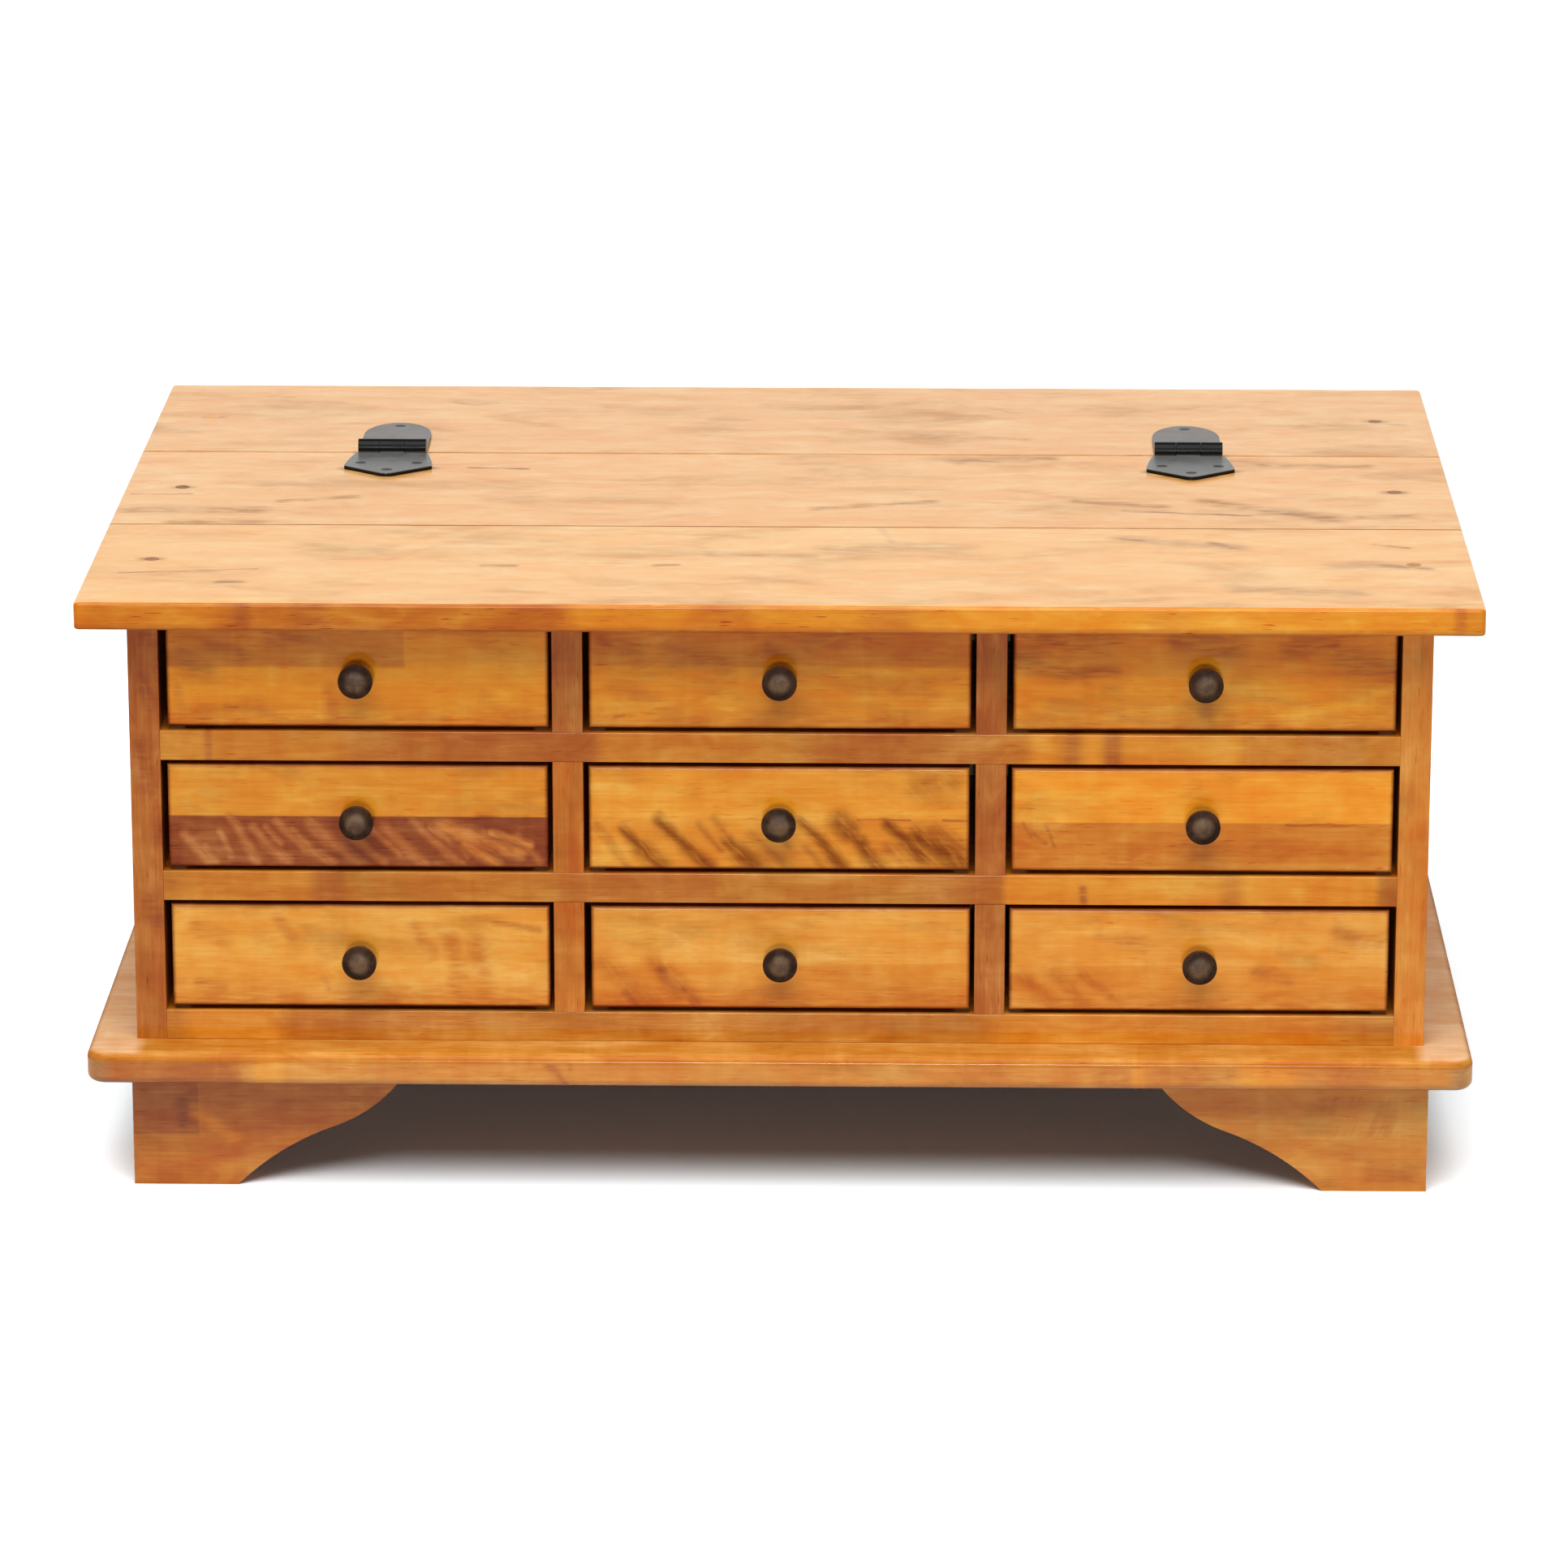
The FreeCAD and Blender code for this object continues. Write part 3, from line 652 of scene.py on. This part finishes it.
def top_centre_marks(at, strip):
    return [
        strip(-beyond, beyond, 46, beyond, copper, 0.65, 1.5),
        streaks(at((-118, 8, -112, 9, 2.5)), umber, "XZ", 0.8),
        streaks(at((-78, 58, -40, 46, 14), (-125, 64, -100, 60, 12), (20, 62, 60, 70, 12),
                   (-8, 60, 6, 54, 10)), umber, "XZ", 0.50),
        streaks(at((60, 30, 110, 26, 10), (-120, 30, -90, 24, 10)), copper, "XZ", 0.45),
    ]


def top_right_marks(at, strip):
    return [
        strip(-beyond, beyond, 40, beyond, amber, 0.6, 1.5),
        streaks(at((-134, 52, -100, 42, 14), (-100, 42, -66, 44, 11), (-20, 66, 20, 60, 16),
                   (60, 60, 90, 66, 12), (96, 54, 134, 46, 17)), umber, "XZ", 0.60),
        streaks(at((-126, 66, -72, 62, 18)), umber, "XZ", 0.55),
        # Painted shade just below the knob.
        streaks(at((0, 24, 3, 4, 10)), umber, "XZ", 0.75, 0.004),
        streaks(at((6, 20, 18, 10, 7), (-110, 20, -60, 14, 9)), copper, "XZ", 0.5),
    ]


def middle_left_marks(at, strip):
    glued = [strip(-beyond, beyond, -beyond, 38.2, (0.240, 0.044, 0.005))]
    light = at((-125, 24, -107, 3, 6), (-92, 37, -83, 22, 5), (-83, 22, -74, 4, 6),
               (-76, 29, -66, 17, 6), (-66, 17, -51, 4, 7), (-59, 34, -38, 14, 5),
               (-38, 14, -19, 3, 6), (-34, 33, -22, 20, 8), (-22, 20, 2, 3, 7),
               (-3, 22, 18, 4, 6), (18, 29, 46, 4, 7), (39, 35, 62, 12, 5),
               (62, 12, 73, 4, 7), (-112, 14, -103, 3, 5), (-48, 28, -30, 10, 4),
               (4, 34, 30, 10, 4), (-66, 30, -56, 18, 4), (52, 30, 78, 8, 4),
               (-100, 26, -92, 8, 4), (114, 24, 131, 5, 5))
    flame = at((62, 30, 88, 20, 12), (88, 20, 116, 11, 9), (77, 18, 99, 4, 8),
               (96, 26, 124, 17, 5))
    figure = (0.43, 0.120, 0.022)
    return glued + [
        streaks(light, figure, "XZ", 0.90, 0.004, 0.0, 50.0),
        streaks(flame, (0.60, 0.210, 0.038), "XZ", 0.95, 0.004, 0.0, 62.0),
        streaks(at((-100, 18, -92, 6, 6), (30, 36, 38, 32, 8), (88, 37, 120, 36, 7),
                   (100, 4, 108, 3, 5)), bark, "XZ", 0.45),
    ]


def middle_centre_marks(at, strip):
    dark = at((-112, 30, -99, 14, 7.5), (-99, 14, -84, 2, 12.5), (-87, 37, -77, 27, 8.8),
              (-77, 27, -66, 16, 7.5), (-66, 16, -50, 2, 10), (-37, 20, -28, 12, 10),
              (-28, 12, -17, 2, 13.8), (15, 36, 29, 22, 7.5), (29, 22, 38, 12, 8.8),
              (38, 12, 45, 2, 10), (43, 37, 50, 29, 13.8), (50, 29, 60, 18, 7.5),
              (59, 20, 65, 10, 10), (65, 10, 71, 2, 12.5), (77, 34, 92, 22, 7.5),
              (92, 22, 103, 10, 11.2), (100, 24, 130, 7, 16.2))
    faint = at((-131, 32, -118, 14, 6), (-118, 14, -110, 3, 6), (-47, 38, -41, 30, 6),
               (-20, 26, -8, 16, 7), (-8, 16, 6, 2, 7), (80, 16, 92, 4, 10),
               (96, 6, 132, 4, 10), (100, 60, 125, 66, 14), (-58, 34, -42, 14, 5),
               (-8, 36, 8, 18, 5), (112, 32, 134, 18, 8), (20, 16, 32, 2, 6))
    line = at((56, 37.6, 94, 37.6, 1.5), (118, 37.5, 134, 36.8, 2))
    return [
        strip(-beyond, beyond, -beyond, 38.2, (0.68, 0.235, 0.016), 0.6),
        streaks(faint, (0.46, 0.140, 0.007), "XZ", 0.80, 0.005, 0.0, 45.0),
        streaks(dark, (0.26, 0.064, 0.005), "XZ", 0.94, 0.005, 0.6, 45.0),
        streaks(line, umber, "XZ", 0.8, 0.001),
    ]


def middle_right_marks(at, strip):
    return [
        strip(-beyond, beyond, -beyond, 36.4, (0.58, 0.178, 0.013), 0.95),
        streaks(at((-60, 8, 50, 12, 20)), copper, "XZ", 0.45),
        streaks(at((-128, 36, -122, 26, 2.5), (-122, 30, -112, 20, 2.5),
                   (-112, 34, -106, 18, 2.5), (60, 35, 110, 35, 1.5)), umber, "XZ", 0.55),
        # Painted shade and reflection of the knob just above it.
        streaks(at((-6, 58, 6, 46, 14)), copper, "XZ", 0.5),
    ]


def bottom_left_marks(at, strip):
    return [
        streaks(at((64, 50, 72, 20, 12), (84, 46, 90, 8, 12), (66, 20, 74, 6, 9),
                   (-120, 60, -96, 50, 10), (-60, 66, -50, 52, 8), (40, 60, 52, 40, 8)),
                copper, "XZ", 0.65),
        streaks(at((-118, 18, -100, 14, 5), (-28, 22, -24, 12, 4), (98, 64, 128, 58, 5)),
                russet, "XZ", 0.60),
        streaks(at((-90, 48, -70, 42, 12), (-60, 10, -30, 14, 12)), (0.84, 0.42, 0.070),
                "XZ", 0.6),
    ]


def bottom_centre_marks(at, strip):
    return [
        strip(-beyond, beyond, -beyond, 34.5, amber, 0.45, 1.2),
        streaks(at((-128, 34, -96, 4, 14), (-92, 34, -78, 12, 12), (-80, 30, -60, 4, 9)),
                copper, "XZ", 0.75, 0.006, 0.0, 40.0),
        streaks(at((-86, 28, -72, 12, 7), (-70, 14, -62, 4, 6), (-112, 12, -104, 4, 5)),
                umber, "XZ", 0.65, 0.006, 0.0, 40.0),
        streaks(at((14, 30, 60, 22, 14), (70, 14, 128, 8, 12), (-30, 8, 0, 12, 8)),
                copper, "XZ", 0.45),
        streaks(at((-128, 62, -90, 54, 12), (60, 60, 100, 54, 10)), (0.82, 0.38, 0.050),
                "XZ", 0.5),
    ]


def bottom_right_marks(at, strip):
    return [
        strip(-beyond, beyond, -beyond, 34.0, amber, 0.50, 1.2),
        streaks(at((-128, 26, -106, 4, 10), (-104, 28, -84, 6, 8), (-84, 26, -56, 6, 7)),
                copper, "XZ", 0.70, 0.006, 0.0, 40.0),
        streaks(at((42, 30, 64, 24, 9), (100, 60, 128, 52, 10), (-70, 58, -40, 50, 10)),
                russet, "XZ", 0.55),
        streaks(at((-100, 60, -60, 62, 8), (10, 56, 50, 50, 12)), (0.84, 0.39, 0.055),
                "XZ", 0.5),
    ]


drawer_looks = {
    "top_left": ((0.78, 0.275, 0.011), top_left_marks),
    "top_centre": ((0.74, 0.248, 0.009), top_centre_marks),
    "top_right": ((0.78, 0.262, 0.009), top_right_marks),
    "middle_left": ((0.69, 0.240, 0.014), middle_left_marks),
    "middle_centre": ((0.77, 0.292, 0.022), middle_centre_marks),
    "middle_right": ((0.84, 0.298, 0.016), middle_right_marks),
    "bottom_left": ((0.77, 0.335, 0.046), bottom_left_marks),
    "bottom_centre": ((0.75, 0.300, 0.036), bottom_centre_marks),
    "bottom_right": ((0.76, 0.308, 0.040), bottom_right_marks),
}


def dress_drawers(seed):
    for row in rows:
        for column in columns:
            seed += 1.0
            place = row + "_" + column
            tone, marks = drawer_looks[place]
            at, strip, outline = from_drawer(row, column)
            dress("drawer_front_" + place,
                  wood("front_" + place, "X", tone, seed, marks(at, strip) + outline))
            dress("drawer_box_" + place, wood("box_" + place, "Y", raw, seed, **raw_look))
            knob = middle("knob_" + place)
            dress("knob_" + place, bronze("bronze_" + place, knob.x, knob.z))


# Case: rails with many short glued pieces, redder uprights

glued_board = 0.052
glued_swing = 0.12
rail_band = 0.22

def rail_marks(name, pieces):
    low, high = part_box(name)
    return [stave_and_painted_light(x0, x1, low.z - 0.01, high.z + 0.01, tone, "XZ", strength, soft)
            for x0, x1, tone, strength, soft in pieces]


def dress_case(seed):
    rail = (0.56, 0.178, 0.012)
    dark_rail = (0.50, 0.158, 0.012)
    lowest_rail = (0.49, 0.168, 0.018)
    upper = rail_marks("upper_shelf", [
        (-0.412, -0.407, russet, 0.8, 0.002), (-0.309, -0.245, russet, 0.60, 0.012),
        (-0.245, -0.130, russet, 0.85, 0.006), (0.020, 0.165, russet, 0.65, 0.020),
        (0.180, 0.200, honey, 0.7, 0.006), (0.206, 0.214, russet, 0.5, 0.003),
        (0.218, 0.230, honey, 0.8, 0.005), (0.234, 0.244, russet, 0.7, 0.003),
        (0.246, 0.330, honey, 0.7, 0.006), (0.375, 0.415, russet, 0.4, 0.010)])
    lower = rail_marks("lower_shelf", [
        (-0.430, -0.335, amber, 0.35, 0.010), (-0.335, -0.315, russet, 0.9, 0.006),
        (-0.165, -0.040, russet, 0.50, 0.015), (0.100, 0.160, russet, 0.75, 0.020),
        (0.162, 0.430, honey, 0.75, 0.004), (0.318, 0.332, russet, 0.5, 0.006)])
    spot_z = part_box("lower_shelf")[0].z
    lower.append(streaks([(0.2200, spot_z + 0.003, 0.2190, spot_z + 0.014, 0.0050)], umber,
                         "XZ", 0.7))
    lowest = rail_marks("bottom_shelf", [
        (-0.430, -0.360, honey, 0.5, 0.01), (-0.355, -0.250, russet, 0.4, 0.02),
        (0.150, 0.400, honey, 0.45, 0.02)])
    dress("upper_shelf", wood("upper_shelf_wood", "X", rail, seed + 1, upper, band=rail_band))
    dress("lower_shelf", wood("lower_shelf_wood", "X", dark_rail, seed + 2, lower,
                              band=rail_band))
    dress("bottom_shelf", wood("bottom_shelf_wood", "X", lowest_rail, seed + 3, lowest,
                               band=rail_band))
    blot = [streaks([(-0.457, 0.430, -0.450, 0.412, 0.016), (-0.440, 0.395, -0.441, 0.365, 0.009),
                     (-0.455, 0.380, -0.452, 0.362, 0.010), (-0.460, 0.330, -0.455, 0.300, 0.012),
                     (-0.442, 0.270, -0.440, 0.250, 0.010), (-0.455, 0.215, -0.450, 0.200, 0.012)],
                    umber, "XZ", 0.85, 0.008)]
    strips = ("Y", glued_board, glued_swing)
    dress("side_panel_left", wood("left_side_wood", "Z", russet, seed + 4, blot, strips=strips))
    dress("side_panel_right", wood("right_side_wood", "Z", (0.64, 0.220, 0.026), seed + 5,
                                   strips=strips))
    tones = {
        "divider_left_top": russet, "divider_left_middle": copper,
        "divider_left_bottom": copper, "divider_right_top": russet,
        "divider_right_middle": russet, "divider_right_bottom": russet,
    }
    for index, name in enumerate(sorted(tones)):
        dress(name, wood(name + "_wood", "Z", tones[name], seed + 6 + index, ripple=0.16))
    dress("back_panel", wood("back_wood", "X", amber, seed + 12,
                             strips=("Z", glued_board, glued_swing)))
    dress("well_partition", wood("partition_wood", "X", raw, seed + 13, **raw_look))


# Base plate of short staves, and the feet


def dress_base(seed):
    low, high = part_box("base_plate")
    under, over = low.z - 0.01, high.z + 0.01
    pale = (0.80, 0.475, 0.245)
    end_grain_and_shade = (0.30, 0.150, 0.060)
    front_skin = low.y + 0.004
    dusty_and_shaded = (0.38, 0.158, 0.068)
    marks = [
        stave_and_painted_light(-0.490, -0.385, under, over, (0.46, 0.128, 0.011), "XZ", 0.95, 0.010),
        stave_and_painted_light(-0.377, -0.356, under, over, honey, "XZ", 0.75, 0.003),
        stave_and_painted_light(-0.300, -0.260, under, over, copper, "XZ", 0.30, 0.008),
        stave_and_painted_light(0.226, 0.254, under, over, copper, "XZ", 0.60, 0.006),
        stave_and_painted_light(0.255, 0.264, under, over, honey, "XZ", 0.70, 0.003),
        stave_and_painted_light(0.270, 0.322, under, over, copper, "XZ", 0.50, 0.012),
        stave_and_painted_light(0.331, 0.372, under, over, honey, "XZ", 0.80, 0.008),
        stave_and_painted_light(0.375, 0.426, under, over, copper, "XZ", 0.35, 0.012),
        streaks([(-0.172, high.z, -0.160, 0.098, 0.006), (-0.160, 0.098, -0.153, low.z, 0.004),
                 (-0.152, high.z, -0.150, 0.100, 0.004)], russet, "XZ", 0.75, 0.003),
        # Darker at the front corners: end grain, and painted shade where the front turns round the
        # corners.
        stave_and_painted_light(-everywhere, -0.484, -everywhere, front_skin, end_grain_and_shade, "XY", 0.55, 0.006),
        stave_and_painted_light(0.484, everywhere, -everywhere, front_skin, end_grain_and_shade, "XY", 0.55, 0.006),
        # Darker over the rounded top arris of the front, without lacquer: painted shade holding
        # back the light the arris catches.
        stave_and_painted_light(-everywhere, everywhere, high.z - 0.0065, over, (0.52, 0.175, 0.014), "XZ", 0.8,
              0.0020, 1.0),
        stave_and_painted_light(-everywhere, everywhere, high.z - 0.0008, over, (0.54, 0.230, 0.036), "XZ", 0.9,
              0.0003),
        # Paler top beside the case: a painted reflection of the white backdrop.
        stave_and_painted_light(-everywhere, -0.4620, high.z - 0.0008, over, pale, "XZ", 0.9, 0.0060),
        stave_and_painted_light(0.4620, everywhere, high.z - 0.0008, over, pale, "XZ", 0.9, 0.0060),
        # Underside without lacquer, dust grey-brown and darker still as painted shade under the
        # plate.
        stave_and_painted_light(-everywhere, everywhere, under, low.z + 0.0008, dusty_and_shaded, "XZ", 1.0, 0.0003, 1.0),
    ]
    dress("base_plate", wood("base_plate_wood", "X", (0.66, 0.245, 0.028), seed, marks,
                             coat=1.0, band=0.20))
    foot_looks = {
        "foot_front_left": (copper, [
            stave_and_painted_light(-0.480, -0.422, 0.0385, 0.090, umber, "XZ", 0.75, 0.001),
            stave_and_painted_light(-0.422, -0.250, 0.0400, 0.090, russet, "XZ", 0.60, 0.004),
            streaks([(-0.434, 0.066, -0.434, 0.046, 0.007)], bark, "XZ", 0.6, 0.006),
            streaks([(-0.424, 0.056, -0.412, 0.046, 0.009), (-0.412, 0.046, -0.395, 0.034, 0.009)],
                    amber, "XZ", 0.85),
            streaks([(-0.455, 0.020, -0.400, 0.014, 0.014)], amber, "XZ", 0.5),
        ]),
        "foot_front_right": ((0.66, 0.235, 0.024), [
            curl(copper, 0.400, 0.448, 0.042, 0.072, -22.0, 0.008, 0.60, 3.0, 0.44, 0.64),
            streaks([(0.430, 0.0130, 0.462, 0.0125, 0.013)], copper, "XZ", 0.80, 0.010),
            stave_and_painted_light(0.250, 0.370, 0.050, 0.090, copper, "XZ", 0.4, 0.02),
        ]),
        "foot_rear_left": (amber, []),
        "foot_rear_right": (copper, []),
    }
    for index, name in enumerate(sorted(foot_looks)):
        tone, foot_marks = foot_looks[name]
        dress(name, wood(name + "_wood", "X", tone, seed + 1 + index, foot_marks, coat=0.8))
    dress("foot_glue_blocks", wood("block_wood", "Z", raw, seed + 6, **raw_look))


# Top: three worn boards, paler than the case, with dark open joints

edge_skin = 0.0016
plug_radius = 0.0055
front_plug_inset = 0.128
rear_plug_inset = 0.114
leaf_point_depth = 0.027
plug_tone = (0.30, 0.140, 0.065)


def dress_top(seed):
    front_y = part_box("lid_front_board")[0].y
    joint_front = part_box("lid_front_board")[1].y
    joint_rear = (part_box("lid_middle_board")[1].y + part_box("rear_top_board")[0].y) / 2
    edge = front_y + edge_skin
    worn = (0.26, 0.120, 0.045)
    smudge = (0.44, 0.200, 0.050)
    seams = [seam(joint_front, 0.0011, (0.32, 0.140, 0.050)),
             seam(joint_rear, 0.0024, (0.62, 0.310, 0.130))]
    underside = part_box("lid_front_board")[0].z
    plug_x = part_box("lid_plugs")[1].x - plug_radius
    plug_y = (front_y + front_plug_inset, 0.0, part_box("rear_top_board")[1].y - rear_plug_inset)

    def along_edge(x0, x1, tone, strength, soft):
        return stave_and_painted_light(x0, x1, front_y - 0.01, edge, tone, "XY", strength, soft, 0.6)

    def round_plugs(y, *centres):
        """Stain that has crept along the grain from the plugs."""
        lines = [(x - 0.005, y, x + 0.005, y, 0.010) for x in centres]
        return streaks(lines, (0.34, 0.160, 0.070), "XY", 0.85, 0.0, 0.7)

    def hinge_leaf_shadow(side):
        """Painted shadow along the front edges of a hinge leaf."""
        low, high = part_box("hinge_lid_leaf_" + side)
        x = (low.x + high.x) / 2
        corner_y = low.y + leaf_point_depth
        return streaks([(low.x, corner_y, x, low.y, 0.009), (x, low.y, high.x, corner_y, 0.009)],
                       leaf_shadow_tone, "XY", 0.7, 0.0, 0.8)

    front_marks = [
        streaks([(-0.477, -0.263, -0.378, -0.250, 0.0025), (-0.402, -0.2885, -0.386, -0.288, 0.008),
                 (-0.215, -0.237, -0.194, -0.237, 0.006), (-0.090, -0.2335, -0.076, -0.233, 0.006),
                 (0.250, -0.149, 0.262, -0.153, 0.005), (0.313, -0.158, 0.3265, -0.1726, 0.008),
                 (0.432, -0.163, 0.456, -0.172, 0.005), (0.436, -0.224, 0.466, -0.234, 0.010)],
                worn, "XY", 0.75, 0.006, 0.45),
        streaks([(0.250, -0.149, 0.290, -0.161, 0.018), (0.290, -0.161, 0.330, -0.172, 0.018),
                 (0.328, -0.293, 0.410, -0.308, 0.020), (0.038, -0.185, 0.126, -0.176, 0.024),
                 (-0.05, -0.200, 0.02, -0.205, 0.012), (0.40, -0.228, 0.43, -0.222, 0.018)],
                smudge, "XY", 0.60, 0.008, 0.25),
        streaks([(0.0695, -0.112, 0.080, -0.163, 0.005)], smudge, "XY", 0.35),
        # Paler band along the front of the lid's left end: partly worn lacquer, partly a painted
        # highlight.
        streaks([(-0.470, -0.338, -0.330, -0.341, 0.020)], (0.95, 0.50, 0.090), "XY", 0.6),
        round_plugs(plug_y[0], -plug_x),
        seams[0],
        stave_and_painted_light(-everywhere, everywhere, front_y - 0.01, edge, (0.66, 0.215, 0.008), "XY", 1.0,
              0.0004, 0.6),
        along_edge(-0.490, -0.405, (0.60, 0.190, 0.008), 0.9, 0.006),
        along_edge(-0.400, -0.150, (0.48, 0.125, 0.005), 0.95, 0.015),
        along_edge(-0.385, -0.375, umber, 0.5, 0.004),
        along_edge(-0.345, -0.320, umber, 0.35, 0.008),
        along_edge(-0.060, -0.020, copper, 0.5, 0.012),
        along_edge(0.060, 0.095, copper, 0.5, 0.010),
        along_edge(0.120, 0.480, (0.76, 0.272, 0.014), 0.9, 0.020),
        along_edge(0.260, 0.290, amber, 0.6, 0.010),
        along_edge(0.478, 0.486, copper, 0.8, 0.003),
        # Darker along the bottom of the lid's front edge: painted shade under its lower arris.
        stave_and_painted_light(front_y - 0.01, edge, underside - 0.01, underside + 0.004, russet, "YZ", 0.55,
              0.0015),
    ]
    middle_marks = [
        streaks([(-0.4925, -0.0226, -0.448, -0.022, 0.0030), (-0.244, 0.0663, -0.200, 0.064, 0.004),
                 (0.252, -0.063, 0.345, -0.0766, 0.004), (0.360, -0.064, 0.405, -0.083, 0.010)],
                worn, "XY", 0.80, 0.006, 0.45),
        streaks([(-0.485, -0.074, -0.397, -0.0726, 0.020), (-0.452, -0.108, -0.390, -0.112, 0.014),
                 (0.127, 0.097, 0.201, 0.1066, 0.016), (0.363, 0.0857, 0.440, 0.0824, 0.014),
                 (0.314, -0.032, 0.360, -0.064, 0.018), (0.360, -0.064, 0.405, -0.083, 0.024),
                 (0.405, -0.083, 0.466, -0.074, 0.012), (-0.378, -0.042, -0.325, -0.029, 0.010),
                 (0.0225, -0.060, 0.109, -0.036, 0.010), (0.217, -0.034, 0.281, -0.048, 0.010)],
                smudge, "XY", 0.85, 0.008, 0.45),
        round_plugs(plug_y[1], plug_x, -plug_x),
        hinge_leaf_shadow("left"), hinge_leaf_shadow("right"), seams[0], seams[1],
    ]
    rear_marks = [
        streaks([(-0.2693, 0.288, -0.2535, 0.280, 0.005), (-0.2535, 0.280, -0.235, 0.289, 0.005),
                 (-0.065, 0.2326, -0.035, 0.233, 0.006), (-0.463, 0.2335, -0.448, 0.234, 0.006),
                 (-0.4165, 0.3076, -0.400, 0.3045, 0.005), (0.468, 0.226, 0.480, 0.224, 0.005)],
                worn, "XY", 0.50, 0.006, 0.30),
        streaks([(-0.496, 0.188, -0.470, 0.186, 0.014), (-0.42, 0.290, -0.36, 0.285, 0.012),
                 (-0.02, 0.285, 0.05, 0.280, 0.012), (0.10, 0.180, 0.18, 0.170, 0.012)],
                smudge, "XY", 0.40, 0.008, 0.2),
        round_plugs(plug_y[2], plug_x),
        seams[1],
    ]
    # The front board is lightest and the rear board darkest: a painted fall-off of the light
    # towards the back.
    dress("lid_front_board", wood("lid_front_wood", "X", (0.92, 0.480, 0.135), seed + 1,
                                  front_marks, **top_look))
    dress("lid_middle_board", wood("lid_middle_wood", "X", (0.88, 0.448, 0.135), seed + 2,
                                   middle_marks, **top_look))
    dress("rear_top_board", wood("rear_top_wood", "X", (0.85, 0.432, 0.132), seed + 3,
                                 rear_marks, **top_look))
    matched = [stave_and_painted_light(-everywhere, 0.0, -everywhere, everywhere, (0.80, 0.40, 0.122), "XY")]
    faint = [stave_and_painted_light(0.0, everywhere, -everywhere, -0.150, (0.62, 0.30, 0.100), "XY", 0.7),
             stave_and_painted_light(-everywhere, 0.0, -everywhere, -0.150, (0.46, 0.22, 0.095), "XY", 0.6)]
    dress("lid_plugs", wood("lid_plug_wood", "Z", plug_tone, seed + 4, faint, coat=0.35,
                            shine=0.3))
    dress("rear_board_plugs", wood("rear_plug_wood", "Z", plug_tone, seed + 5, matched, coat=0.6,
                                   shine=0.3))
    dress("lid_battens", wood("batten_wood", "Y", raw, seed + 6, **raw_look))


def dress_metal():
    leaf_top = top_face + leaf_thickness
    for side in ("left", "right"):
        dress("hinge_rear_leaf_" + side,
              iron("rear_leaf_iron_" + side, leaf_top, rear_leaf_grey))
        dress("hinge_lid_leaf_" + side,
              iron("lid_leaf_iron_" + side, leaf_top, lid_leaf_grey))
    for name in ("hinge_pins", "hinge_rear_screws", "hinge_lid_screws", "lid_batten_screws"):
        dress(name, steel(name + "_steel"))


dress_top(1.0)
dress_case(10.0)
dress_drawers(30.0)
dress_base(60.0)
dress_metal()
add_camera()
add_floor()
add_sky()
add_sun("key", key_from, key_strength, key_softness)
add_sun("fill", fill_from, fill_strength, fill_softness)

bpy.context.scene.view_settings.view_transform = "Standard"
